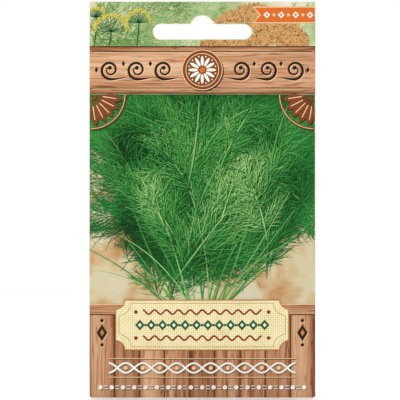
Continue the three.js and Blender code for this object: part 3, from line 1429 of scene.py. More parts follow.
@dataclass
class Fronds:
    """Feathery leaves: a midrib, side stems in pairs, and thread leaflets that fork."""

    drawing: Print
    random: Generator
    pairs: int = 9
    leaflet_pairs: int = 5
    tip_light: float = 0.16
    light: Callable[[Array, Array, Array], Array] = clouded
    detail: int = 1
    forks: int = 2
    side_angle: float = 0.86
    leaflet_angle: float = 0.56
    fork_angle: float = 0.26
    side_share: float = 0.42
    leaflet_share: float = 0.42
    curl: float = 0.4
    rib_width: float = 0.24
    thread_width: float = 0.15

    def vary(self, shape: tuple[int, ...], spread: float) -> Array:
        """Give random numbers about 0 of a spread."""
        return self.random.normal(0, spread, shape)

    def draw(self, rib: Stem) -> None:
        """Draw fronds.

        Args:
            rib: Their midribs.
        """
        bright = replace(rib, shade=rib.shade + 0.1, lift=rib.lift + 0.004)
        self.stroke(bright, 6, self.rib_width)
        shape = (len(rib.length), self.pairs, 2)
        share = np.linspace(0.12, 0.97, self.pairs)[:, None]
        ribs = rib.grown(2)
        place, heading = ribs.at(share + self.vary(shape, 0.018))
        side = np.array([-1.0, 1.0])
        taper = np.sin(np.pi * (0.2 + 0.72 * share)) ** 0.8
        heading = heading + side * (self.side_angle - 0.32 * share) + self.vary(shape, 0.12)
        length = ribs.length * self.side_share * taper * (1 + self.vary(shape, 0.14))
        bend = -side * self.curl + self.vary(shape, 0.24)
        shade = ribs.shade + self.tip_light * (share - 0.5) + self.vary(shape, 0.03)
        sides = Stem(place, heading, length, bend, shade, np.broadcast_to(ribs.lift, shape))
        self.stroke(replace(sides, lift=sides.lift + 0.002), 4, self.rib_width * 0.62)
        self.leaflets(sides)

    def leaflets(self, sides: Stem) -> None:
        """Draw the forked threads along side stems.

        Args:
            sides: The side stems.
        """
        shape = (*sides.length.shape, self.leaflet_pairs, 2, self.forks)
        share = np.linspace(0.16, 1.0, self.leaflet_pairs)[:, None, None]
        parents = sides.grown(3)
        place, heading = parents.at(share + self.vary(shape, 0.03))
        side = np.array([-1.0, 1.0])[:, None]
        fork = np.linspace(-1, 1, self.forks) * self.fork_angle
        spread = side * self.leaflet_angle * (1 - 0.45 * share) + fork
        heading = heading + spread + self.vary(shape, 0.13)
        length = parents.length * self.leaflet_share * (1.15 - 0.4 * share)
        length = length * (1 + self.vary(shape, 0.2))
        bend = self.vary(shape, 0.34) - side * 0.2
        shade = parents.shade + self.vary(shape, 0.05)
        lift = parents.lift + self.vary(shape, 0.0006)
        self.stroke(Stem(place, heading, length, bend, shade, lift), 3, self.thread_width)

    def stroke(self, stems: Stem, points: int, half_width: float) -> None:
        """Draw stems as tapering strokes.

        Args:
            stems: The stems.
            points: How many points each stroke has at the least detail.
            half_width: Half of the width near the base.
        """
        points = (points - 1) * self.detail + 1
        lines = stems.lines(points)
        share = np.linspace(0, 1, points)
        taper = np.minimum(1 - 0.7 * share, 0.3 + 5 * share) * half_width
        widths = taper * (1 + self.vary((len(lines), 1), 0.12))
        shades = self.light(np.ravel(stems.shade), *lines[:, points // 2].T)
        self.drawing.strokes(lines, widths, shades.clip(0.01, 0.99), np.ravel(stems.lift))


@dataclass(frozen=True)
class LeafLayer:
    """One layer of fronds in the herb picture."""

    name: str
    count: int
    level: float
    shades: tuple[float, float]
    length: float
    reach: float
    warmth: float
    shadow: bool = True


@dataclass
class HerbPicture(Print):
    """A fan of feathery herb leaves that fills the middle of the front."""

    effects: Effects
    top_depth: float = 32.8
    bottom_depth: float = 109.0
    root_depth: float = 116.0
    edge_gap: float = 0.24
    layers: tuple[LeafLayer, ...] = (
        LeafLayer("herb_leaves_back", 80, 0.03, (0.04, 0.34), 36, 0.76, -0.6, shadow=False),
        LeafLayer("herb_leaves_middle", 34, 0.07, (0.3, 0.54), 36, 0.72, -0.1),
        LeafLayer("herb_leaves_front", 17, 0.12, (0.46, 0.78), 34, 0.64, 0.2),
    )
    stops: Stops = (
        (0.0, (3, 34, 8)),
        (0.2, (12, 64, 18)),
        (0.4, (24, 98, 36)),
        (0.6, (44, 136, 54)),
        (0.8, (82, 166, 80)),
        (1.0, (162, 208, 132)),
    )
    warm_shift: Rgb = (22, 4, -8)
    clump: tuple[Place, Place] = ((0.0, -60.0), (43.0, 37.0))
    rim_shade: float = 0.6
    shadow_drop: float = 0.26
    stem_count: int = 24
    stem_levels: tuple[float, ...] = (0.068, 0.108, 0.157)
    seed: int = 11

    def spread(self, layer: LeafLayer) -> Array:
        """Spread the middles of a layer's fronds evenly over the clump.

        Args:
            layer: The layer.

        Returns:
            The middles as (x, z) rows.
        """
        step = np.array([0.7548776662, 0.569840291])
        unit = (np.arange(1, 4 * layer.count)[:, None] * step + self.random.random(2)) % 1
        middle, reach = np.array(self.clump)
        spots = middle + (2 * unit - 1) * reach
        ragged = layer.reach + 0.22 * soft_noise(*spots.T, 13.0, 5)
        return spots[self.distance(*spots.T) < ragged][: layer.count]

    def distance(self, x: Array, z: Array) -> Array:
        """Give how far places lie from the clump's middle, with its rim at 1."""
        middle, reach = np.array(self.clump)
        return np.sqrt((np.abs((joined(x, z) - middle) / reach) ** 2.4).sum(-1))

    def lit(self, shades: Array, x: Array, z: Array) -> Array:
        """Light the clump's rim and darken the leaves under the band.

        Args:
            shades: The strokes' shades.
            x: Their places across.
            z: Their heights.

        Returns:
            The new shades.
        """
        distance = self.distance(x, z)
        shades = clouded(shades, x, z) + 0.2 * soft_noise(x, z, 15.0, 32)
        shades = shades - 0.12 * (1 - ease(0.0, 0.7, distance))
        shades = shades + (self.rim_shade - shades) * 0.6 * ease(0.6, 0.95, distance)
        return shades - 0.2 * np.exp((z - self.down(self.top_depth)) / 2.6)

    def finish_green(self, name: str, warmth: float) -> None:
        """Make a piece of leaves or stems.

        Args:
            name: Its name.
            warmth: How far its greens lean to yellow, or to blue below 0.
        """
        stops = []
        for place, color in self.stops:
            shift = np.array(self.warm_shift) * warmth * (0.3 + place)
            stops.append((place, tuple((color + shift).clip(0, 255))))
        green = InkFinish(f"ink_{name}", self.effects, stops=stops, tip_gain=0.26)
        bounds = self.form.bounds(self.edge_gap, self.top_depth, self.bottom_depth)
        self.finish(name, green.material(), bounds)

    def draw_layer(self, layer: LeafLayer) -> None:
        """Draw one layer of fronds.

        Args:
            layer: The layer.
        """
        self.start(self.seed + layer.count)
        random, middle = self.random, self.spread(layer)
        count = len(middle)
        away = middle - (0, self.down(self.root_depth))
        heading = np.arctan2(away[:, 1] + 14, away[:, 0]) + random.normal(0, 0.5, count)
        length = layer.length * random.uniform(0.62, 1.15, count)
        bend = random.normal(0, 0.4, count) - 0.7 * np.cos(heading)
        base = middle - ways(heading) * length[:, None] * 0.5
        tone = 0.5 + 0.5 * soft_noise(*middle.T, 15.0, 2)
        tone = (0.55 * tone + 0.45 * random.random(count)).clip(0, 1)
        low, high = layer.shades
        lift = layer.level + 0.035 * random.permutation(count) / count
        rib = Stem(base, heading, length, bend, low + (high - low) * tone, lift)
        drawn = int(random.integers(1000))
        if layer.shadow:
            again, dark = default_rng(drawn), np.full(count, low - self.shadow_drop)
            shadow = Fronds(self, again, tip_light=0.0, light=self.lit, thread_width=0.19)
            shadow.draw(replace(rib, base=base + (0.35, -0.45), shade=dark, lift=lift - 0.0003))
        Fronds(self, default_rng(drawn), light=self.lit).draw(rib)
        self.finish_green(layer.name, layer.warmth)

    def draw_stems(self) -> None:
        """Draw the long pale stems that fan out of the root."""
        self.start(self.seed)
        random, count, points = self.random, self.stem_count, 26
        angle = np.pi / 2 + np.linspace(-0.8, 0.8, count) + random.normal(0, 0.05, count)
        start = np.linspace(9, -9, count) + random.normal(0, 1.5, count)
        base = joined(start, self.down(self.bottom_depth))
        length = random.uniform(40, 68, count) * (1 - 0.3 * np.abs(np.cos(angle)))
        bend = random.normal(0, 0.3, count) - 0.45 * np.cos(angle)
        widths = np.linspace(0.3, 0.07, points) * random.uniform(0.7, 1.1, (count, 1))
        shade = random.uniform(0.58, 0.88, count)
        lift = random.choice(self.stem_levels, count) + 0.001 * np.arange(count) / count
        lines = Stem(base, angle, length, bend, shade, lift).lines(points)
        self.strokes(lines, widths, shade, lift)
        self.finish_green("herb_stems", 0.3)

    def build(self) -> None:
        """Draw the picture's layers, from the shade at the back to the light in front."""
        for layer in self.layers:
            self.draw_layer(layer)
        self.draw_stems()


@dataclass
class HeaderPicture(Print):
    """Sprigs and flower heads left of the hang slot, a drift of seeds and a ribbon right of it."""

    effects: Effects
    inks: Material
    depth: float = 15.7
    sprig_count: int = 26
    seed_count: int = 980
    drift: tuple[float, float] = (-2.0, 39.0)
    crest: float = 14.6
    ribbon: tuple[float, float, float] = (18.4, 2.1, 7.3)
    ribbon_cut: float = 2.3
    heads: tuple[tuple[float, float, float], ...] = (
        (-32.2, 10.6, 7.2),
        (-22.4, 7.4, 5.2),
        (-37.4, 5.4, 3.8),
    )
    rays: int = 15
    tuft: int = 11
    sprig_stops: Stops = ((0.0, (66, 112, 48)), (0.5, (122, 162, 88)), (1.0, (206, 222, 168)))

    @property
    def bounds(self) -> Bounds:
        """The part of the front that the header's prints keep to."""
        return self.form.bounds(0.3, 0.15, self.depth)

    def draw_sprigs(self) -> None:
        """Draw the pale sprigs at the left and a few at the right."""
        self.start(5)
        random, count = self.random, self.sprig_count
        left, right = random.uniform(-42, -4, count), random.uniform(30, 41, count)
        x = np.where(np.arange(count) < count * 0.8, left, right)
        base = joined(x, self.down(random.uniform(-1, 17, count)))
        heading = random.uniform(-1.26, 0.94, count)
        length, bend = random.uniform(14, 22, count), random.normal(0, 0.4, count)
        shade, lift = np.sort(random.uniform(0.1, 0.95, count)), 0.02 + np.arange(count) * 0.0012
        shares = {"side_share": 0.46, "leaflet_share": 0.5}
        fronds = Fronds(self, random, pairs=6, leaflet_pairs=3, detail=3, **shares)
        fronds.draw(Stem(base, heading, length, bend, shade, lift))
        finish = InkFinish("ink_sprigs", self.effects, stops=self.sprig_stops, tip_gain=0.3)
        self.finish("header_sprigs", finish.material(), self.bounds)

    def draw_seeds(self) -> None:
        """Draw the drift of tan seeds that rises towards the right edge."""
        random = default_rng(6)
        low, high = self.drift
        x = random.uniform(low + 2, high - 2, self.seed_count)
        crest = self.crest * np.sin(np.pi * (high - x) / (high - low)) ** 0.8
        x, crest = x[crest > 0.5], crest[crest > 0.5]
        up = random.random(len(x)) * crest
        places = joined(x, self.down(self.depth) + up)[np.argsort(-up)]
        count = len(places)
        turn = random.uniform(0, np.pi, count)
        size = random.uniform(0.85, 1.15, count)
        lift = 0.06 + 0.04 * np.arange(count) / count
        middle = places + (0.05, 0.1)
        self.pen(Ink.STRAW, lift).spots(places, 1.1 * size, 0.66 * size, 10, turn)
        self.pen(Ink.SEED, lift + 0.00003).spots(middle, 1.0 * size, 0.54 * size, 10, turn)
        way = ways(turn) * 0.82 * size[:, None]
        for side, tone in ((-1, Ink.STRAW), (1, Ink.PEACH)):
            centre = middle + ways(turn + np.pi / 2) * 0.16 * side
            ribs = np.stack([centre - way, centre, centre + way], 1)
            self.pen(tone, lift + 0.00005).lines(ribs, [0.03, 0.07, 0.03])

    def draw_heads(self) -> None:
        """Draw the flower heads: a stalk, rays like an umbrella's and a tuft on each ray."""
        random = default_rng(8)
        share = np.linspace(0, 1, 7)[:, None]
        for x, depth, size in self.heads:
            foot = np.array([x, self.down(depth)])
            stalk = foot - (0.8, 0) * share**2 - (0, self.depth - depth) * share
            self.pen(Ink.LEAF, 0.085).lines(stalk, 0.2)
            turn = np.radians(np.linspace(12, 168, self.rays)) + random.normal(0, 0.03, self.rays)
            reach = size * (0.94 - 0.12 * np.abs(np.cos(turn)))
            way = ways(turn) * (1, 0.86) * reach[:, None]
            bow = joined(0.0, -0.1 * reach * np.abs(np.cos(turn)))
            rays = foot + way[:, None] * share + bow[:, None] * np.sin(np.pi * share)
            self.pen(Ink.LEAF, 0.09).lines(rays, 0.09)
            spin = random.uniform(0, math.tau, (self.rays, self.tuft))
            out = size * 0.135 * np.sqrt(random.random(spin.shape))
            dots = (foot + way[:, None] + ways(spin) * out[..., None]).reshape(-1, 2)
            lift = 0.094 + 0.03 * np.arange(len(dots)) / len(dots)
            self.pen(Ink.MOSS, lift).spots(dots + (0.08, -0.1), 0.3, 0.3, 8)
            self.pen(Ink.GOLD, lift + 0.0001).spots(dots, 0.27, 0.27, 8)

    def draw_ribbon(self) -> None:
        """Draw the orange ribbon with its pale edge, forked end, lozenges and beads."""
        start, top, bottom = self.ribbon
        high, low = self.down(top), self.down(bottom)
        middle, end = (high + low) / 2, self.form.half_width - 0.3
        for grow, tone, lift in ((0.34, Ink.PEACH, 0.106), (0.0, Ink.ORANGE, 0.112)):
            z = np.linspace(low - grow, high + grow, 41)
            fork = self.ribbon_cut * (1 - np.abs(z - middle) / (z[-1] - middle))
            edge = joined(start - grow * 1.6 + fork, z)
            self.pen(tone, lift).skin(edge, joined(end, z), 24)
        row = even_row(start + 4.4, end - 1.6, 7, middle)
        self.pen(Ink.CREAM, 0.118).spots(row[::2], 1.2, 1.2, 4)
        self.pen(Ink.ORANGE, 0.122).spots(row[::2], 0.52, 0.52, 4)
        self.pen(Ink.PEACH, 0.118).spots(row[1::2], 0.56, 0.56, 16)

    def build(self) -> None:
        """Draw the header's three pieces."""
        self.draw_sprigs()
        self.start(4)
        self.draw_seeds()
        self.finish("header_seeds", self.inks, self.bounds)
        self.start(7)
        self.draw_heads()
        self.draw_ribbon()
        self.finish("header_badges", self.inks, self.bounds)


@dataclass
class BandOrnament(Print):
    """Scrolls engraved in the wood band beside a rosette disc, with fans under the band's ends."""

    inks: Material
    middle_depth: float = 24.15
    pitch: float = 9.5
    count_each: int = 3
    first: float = 13.6
    radius: float = 3.3
    keylines: tuple[float, float] = (17.7, 30.6)
    cut_width: float = 0.5
    disc_radius: float = 6.9
    fan_depth: float = 32.9
    fan_radius: float = 10.8

    def scrolls(self) -> Array:
        """Lay out the scrolls, each run in along the base, on both sides of the disc.

        Returns:
            Their centre lines.
        """
        turn = np.linspace(-np.pi / 2, -np.pi / 2 + math.tau * 1.5, 60)
        spiral = ways(turn) * np.linspace(self.radius, 0.75, 60)[:, None]
        run = np.linspace(-self.pitch * 0.62, -0.3, 12)
        rise = 0.55 * (np.cos(np.linspace(0, np.pi, 12)) * 0.5 + 0.5)
        unit = np.concatenate([joined(run, -self.radius + rise - 0.02), spiral])
        last = self.first + self.pitch * (self.count_each - 1)
        centres = even_row(self.first, last, self.count_each, self.down(self.middle_depth))
        right = centres[:, None] + unit
        return np.concatenate([right, right * (-1, 1)])

    def engrave(self) -> None:
        """Draw the scrolls, lozenges and key lines once."""
        lines = self.scrolls()
        points = lines.shape[1]
        widths = np.interp(np.arange(points), [0, 12, 34, points - 1], [0.12, 1.0, 0.86, 0.4])
        self.lines(lines, widths * self.cut_width)
        self.spots(lines[:, -1], 0.72, 0.72, 16)
        gaps = self.first + self.pitch * (np.arange(self.count_each) + 0.5)
        x = np.concatenate([gaps, -gaps])
        rise = np.where(np.abs(x) > gaps[-1] - 1, 0.0, 2.2)
        places = joined(x, self.down(self.middle_depth) + rise)
        self.spots(places, 0.66, 1.05, 4)
        for depth in self.keylines:
            self.lines(even_row(-39.0, 39.0, 80, self.down(depth)), 0.16)

    def draw_disc(self) -> None:
        """Draw the brown disc with its shadow, a pale ring and a rosette."""
        centre, radius = np.array([[0.0, self.down(self.middle_depth)]]), self.disc_radius
        self.pen(Ink.BARK, 0.06).disc(centre[0] + (0.35, -0.4), radius + 0.35)
        self.pen(Ink.PEACH, 0.085).disc(centre[0], radius + 0.3)
        self.pen(Ink.RUST, 0.11).disc(centre[0], radius)
        self.pen(Ink.PEACH, 0.135).rings(outlines(centre, radius * 0.84, radius * 0.84, 64), 0.13)
        petals, beads = (0.0, 0.46, 1.75, 0.55, Ink.CREAM), (0.5, 0.7, 0.3, 0.3, Ink.PEACH)
        for start, reach, wide, high, tone in (petals, beads):
            turn = (np.arange(12) + start) * math.tau / 12
            self.pen(tone).spots(centre + ways(turn) * radius * reach, wide, high, 18, turn)
        self.pen(Ink.ORANGE, 0.155).spots(centre, 1.0, 1.0, 24)

    def draw_fans(self) -> None:
        """Draw a carved quarter fan under each end of the band."""
        share = np.linspace(0, 1, 15)
        reach = 2.4 + (self.fan_radius - 2.4) * share
        widths = 1.3 * np.sin(np.pi * share**1.5) ** 0.75 + 0.08
        for side in (-1, 1):
            corner = np.array([side * 39.3, self.down(self.fan_depth)])
            petals = ways(np.radians([9, 27, 45, 63, 81])) * (-side, -1)
            curve = ways(np.radians(np.linspace(0.5, 89.5, 40))) * (-side, -1)
            for shift, tone, lift in (((0.3, -0.4), Ink.SHADOW, 0.17), ((0, 0), Ink.RUST, 0.185)):
                self.shift = shift
                self.pen(tone, lift).lines(corner + petals[:, None] * reach[:, None], widths)
                for radius, width in ((1.7, 0.5), (self.fan_radius + 1.2, 0.42)):
                    self.lines(corner + curve * radius, width)
            self.pen(Ink.PEACH, 0.2).lines(corner + petals[:, None] * reach[3:12, None], 0.16)
            self.lines(corner + curve * (self.fan_radius + 1.2), 0.1)

    def build(self) -> None:
        """Draw the engraving over its highlight, the disc and the fans."""
        self.start(9)
        for shift, tone, lift in (((0.24, -0.24), Ink.PEACH, 0.03), ((0, 0), Ink.BARK, 0.035)):
            self.shift = shift
            self.pen(tone, lift).engrave()
        self.draw_disc()
        self.draw_fans()
        self.finish("band_ornament", self.inks, self.form.bounds(0.3, 16, 47))


@dataclass
class PlanterFoot(Print):
    """The planter's rim, the woven plate on it and the ornaments round them."""

    effects: Effects
    inks: Material
    rim: tuple[float, float] = (107.0, 110.4)
    plate: tuple[float, float, float] = (30.5, 105.4, 123.0)
    plate_rows: int = 49
    notch: float = 3.2
    rim_lift: float = 0.19
    plate_lift: float = 0.23
    plait_depth: float = 129.4
    bead_depth: float = 136.3
    carving: Place = (35.4, 117.0)
    edge_gap: float = 0.3

    def build_rim(self) -> None:
        """Lay the planter's level rim across the boards."""
        self.start()
        left, right, low, high = bounds = self.form.bounds(self.edge_gap, *self.rim)
        z = np.linspace(low, high, 5)
        sides = (joined(x, z) for x in (left, right))
        self.pen(Ink.SEED, self.rim_lift).skin(*sides, 90)
        start = low * MM - 0.008
        wood = WoodFinish("print_rim", self.effects, board_width=0.02, board_start=start)
        self.finish("planter_rim", wood.material(), bounds, flat_map=True)

    def plate_sides(self, grow: float) -> tuple[Array, Array]:
        """Lay out the plate's left and right side, with a round notch at each corner.

        Args:
            grow: How far to grow the plate on every side.

        Returns:
            The two sides' points from the bottom up.
        """
        half, top, bottom = self.plate
        low, high = self.down(bottom) - grow, self.down(top) + grow
        share = np.linspace(0, 1, self.plate_rows)
        z = low + (high - low) * (share - np.sin(share * math.tau) / (2.6 * np.pi))
        near = np.minimum(z - low, high - z)
        edge = half + grow - np.sqrt(np.maximum((self.notch - grow) ** 2 - near**2, 0))
        return joined(-edge, z), joined(edge, z)

    def build_plate(self) -> None:
        """Lay the woven plate over the rim."""
        self.start()
        half, top, bottom = self.plate
        self.pen(Ink.CREAM, self.plate_lift).skin(*self.plate_sides(0.0), 76)
        bounds = self.form.bounds(self.form.half_width - half, top, bottom)
        cloth = ClothFinish("print_cloth", self.effects, Sheen(roughness=0.6))
        self.finish("label_plate", cloth.material(), bounds, flat_map=True)

    def draw_plate_marks(self) -> None:
        """Draw the plate's edge lines, and its lozenges between two waves."""
        lift = self.plate_lift + 0.035
        for grow, width in ((0.0, 0.17), (-1.1, 0.09)):
            left, right = self.plate_sides(grow)
            levels = [even_row(row[0], -row[0], 60, row[1])[1:-1] for row in (right[-1], left[0])]
            ring = np.concatenate([right, levels[0], left[::-1], levels[1]])
            self.pen(Ink.STRAW, lift).rings(ring[None], width)
        middle = self.down((self.plate[1] + self.plate[2]) / 2)
        row = even_row(-22, 22, 12, middle)
        self.pen(Ink.LEAF, lift).spots(row, 1.7, 1.9, 4)
        self.pen(Ink.CREAM, lift + 0.03).spots(row, 0.66, 0.74, 4)
        self.pen(Ink.LEAF, lift).spots((row[1:] + row[:-1]) / 2, 0.46, 0.46, 12)
        x = np.linspace(-21, 21, 211)
        for rise in (-4.6, 4.6):
            wave = joined(x, middle + rise + 0.75 * np.cos(x / 42 * math.tau * 10))
            self.pen(Ink.WINE).lines(wave, 0.3)
            self.spots(even_row(-23.4, 23.4, 2, wave[0, 1] - 0.75), 0.8, 0.8, 4)

    def draw_plait(self, tones: tuple[Ink, Ink]) -> None:
        """Draw the plait of two waves, with beads in its loops and a line on each side.

        Args:
            tones: The waves' ink, and that of the beads and lines.
        """
        x, z, lift = np.linspace(-33, 33, 397), self.down(self.plait_depth), self.lift
        for side in (-1, 1):
            wave = joined(x, z + side * 1.7 * np.sin(x / 66 * math.tau * 5.5))
            self.pen(tones[0], lift + 0.006 * (side > 0)).lines(wave, 0.34)
            self.pen(tones[1], lift).lines(even_row(-33, 33, 90, z + side * 3.3), 0.14)
        self.spots(even_row(-27, 27, 10, z), 0.72, 0.72, 16)

    def draw_beads(self) -> None:
        """Draw the beaded rule near the bottom edge."""
        beads = even_row(-36.0, 36.0, 19, self.down(self.bead_depth))
        self.spots(beads, 0.8, 0.8, 18)
        between = (beads[1:] + beads[:-1]) / 2
        for rise in (-0.5, 0.5):
            dashes = np.stack([between - (0.75, -rise), between + (0.75, rise)], 1)
            self.lines(dashes, 0.14)

    def draw_carvings(self) -> None:
        """Draw the carved lozenges on the boards beside the plate, over their highlights."""
        across, depth = self.carving
        centres = even_row(-across, across, 2, self.down(depth))
        for shift, tone, lift in (((0.22, -0.24), Ink.PEACH, 0.06), ((0, 0), Ink.BARK, 0.085)):
            self.shift = shift
            self.pen(tone, lift).spots(centres, 1.9, 3.0, 4)
            for rise in (-4.3, 4.3):
                self.spots(centres + (0, rise), 0.62, 0.62, 14)
        self.pen(Ink.STRAW, 0.115).spots(centres, 0.75, 1.25, 4)

    def build(self) -> None:
        """Lay the rim and the plate and draw the ornaments, each over its shadow or light."""
        self.build_rim()
        self.build_plate()
        self.start(12)
        self.draw_plate_marks()
        shade, face = ((0.2, -0.24), Ink.BARK, 0.06), ((0.0, 0.0), Ink.CREAM, 0.085)
        for (shift, tone, lift), warm in ((shade, Ink.BARK), (face, Ink.PEACH)):
            self.shift = shift
            self.pen(tone, lift).draw_plait((tone, warm))
            self.pen(tone).draw_beads()
        self.draw_carvings()
        left, right, *_ = bounds = self.form.bounds(self.edge_gap, 104, 139.6)
        low, high = self.form.bounds(self.edge_gap, *self.rim)[2:]
        self.pen(Ink.BARK, 0.185).lines(even_row(left, right, 90, low - 0.1), 0.2)
        self.pen(Ink.PEACH, 0.196).lines(even_row(left, right, 90, high), 0.12)
        self.finish("foot_ornament", self.inks, bounds)


@dataclass
class BackPrint(Print):
    """The plain back: ruled lines to write on, a year strip and growing signs."""

    inks: Material
    behind = True
    level: float = 0.035
    rule_depths: tuple[float, float, int] = (33.0, 57.0, 7)
    strip_depth: float = 66.5
    cell: tuple[float, float] = (5.4, 3.6)
    sign_depth: float = 84.0
    sign_size: float = 6.6
    note_box: tuple[float, float, float] = (34.0, 97.0, 122.0)

    def draw_rules(self) -> None:
        """Draw the lines to write on, each with a lozenge in front."""
        for z in self.down(np.linspace(*self.rule_depths)):
            self.pen(Ink.MOSS).lines(even_row(-30.0, 34.0, 66, z), 0.11)
            self.pen(Ink.RUST).spots([[-33.2, z + 0.6]], 0.75, 1.0, 4)

    def draw_grid(self, box: Bounds, counts: tuple[int, int], half_width: float) -> None:
        """Draw a box that upright and level lines divide evenly.

        Args:
            box: The least and greatest x, then the least and greatest z.
            counts: How many upright and how many level lines it has.
            half_width: Half of each line's width.
        """
        left, right, low, high = box
        for x in np.linspace(left, right, counts[0]):
            self.lines(joined(x, np.linspace(low, high, 28)), half_width)
        for z in np.linspace(low, high, counts[1]):
            self.lines(even_row(left, right, 72, z), half_width)

    def draw_strip(self) -> None:
        """Draw two rows of twelve cells, some of them filled."""
        wide, high = self.cell
        left, top = -6 * wide, self.down(self.strip_depth)
        for row, (tone, filled) in enumerate(((Ink.MOSS, range(2, 7)), (Ink.ORANGE, range(5, 10)))):
            z = np.linspace(top - (row + 1) * high, top - row * high, 4)
            for number in filled:
                near, far = (joined(left + n * wide, z) for n in (number, number + 1))
                self.pen(tone, self.level).skin(near, far, 6)
        self.pen(Ink.BARK, self.level + 0.01)
        self.draw_grid((left, -left, top - 2 * high, top), (13, 3), 0.12)

    def draw_sun(self) -> None:
        """Draw a sun with twelve rays."""
        self.pen(Ink.ORANGE).spots([[0.0, 0.0]], 2.0, 2.0, 32)
        rays = ways(np.arange(12) * np.pi / 6)[:, None] * np.array([[2.9], [3.7], [4.5]])
        self.lines(rays, [0.42, 0.3, 0.1])

    def draw_drop(self) -> None:
        """Draw a drop of water."""
        share = np.linspace(0, 1, 20)
        widths = 2.35 * share**1.15 * np.sqrt(np.maximum(1 - share**5, 0)) + 0.02
        self.pen(Ink.SKY).lines(joined(0.0, 3.9 - 7.0 * share), widths)

    def draw_sprout(self) -> None:
        """Draw a sprout with two seed leaves over a line of soil."""
        share = np.linspace(0, 1, 14)
        stalk = joined(0.3 * np.sin(share * 3), -3.0 + 4.2 * share)
        self.pen(Ink.LEAF).lines(stalk, 0.25)
        widths = 0.95 * np.sin(np.pi * share) ** 0.8 + 0.04
        for side in (-1, 1):
            leaf = stalk[-1] + joined(side * 3.3 * share, 2.2 * share**0.6 - 0.2 * share)
            self.pen(Ink.LEAF, self.level + 0.004).lines(leaf, widths)
        self.pen(Ink.RUST, self.level).lines(even_row(-4.2, 4.2, 12, -3.1), 0.28)

    def draw_spacing(self) -> None:
        """Draw two plants with a double arrow between them."""
        leaves = ways(np.array([0.7, 1.57, 2.44]))[:, None] * np.array([[0.0], [1.0], [1.9]])
        self.pen(Ink.BARK, self.level).lines(even_row(-3.2, 3.2, 10, -1.8), 0.22)
        for side in (-1, 1):
            arrow = np.array([(4.3 * side, -1.8), (2.9 * side, -1.8)])
            self.pen(Ink.BARK, self.level).lines(arrow, [0.02, 0.85])
            foot = np.array([2.6 * side, 0.0])
            self.pen(Ink.LEAF).lines(np.stack([foot, foot + (0, 3.0)]), 0.2)
            self.pen(Ink.LEAF, self.level + 0.004).lines(foot + (0, 1.5) + leaves, [0.06, 0.36, 0.05])

    def draw_note_box(self) -> None:
        """Draw the box for notes, with dotted lines in it."""
        half, top, bottom = self.note_box
        low, high = self.down(bottom), self.down(top)
        self.pen(Ink.RUST, self.level + 0.01).draw_grid((-half, half, low, high), (2, 2), 0.2)
        for z in np.linspace(low, high, 6)[1:-1]:
            self.pen(Ink.MOSS, self.level).spots(even_row(3 - half, half - 3, 42, z), 0.26, 0.26, 8)

    def build(self) -> None:
        """Draw the back."""
        self.start(20)
        self.pen(Ink.RUST, self.level)
        self.draw_rules()
        self.draw_strip()
        centres = even_row(-26, 26, 4, self.down(self.sign_depth))
        rings = outlines(centres, self.sign_size, self.sign_size, 72)
        self.pen(Ink.RUST, self.level).rings(rings, 0.22)
        signs = (self.draw_sun, self.draw_drop, self.draw_sprout, self.draw_spacing)
        for sign, self.shift in zip(signs, centres):
            sign()
        self.shift = (0.0, 0.0)
        self.draw_note_box()
        self.finish("back_print", self.inks, self.form.bounds(1.5, 28, 124.5))


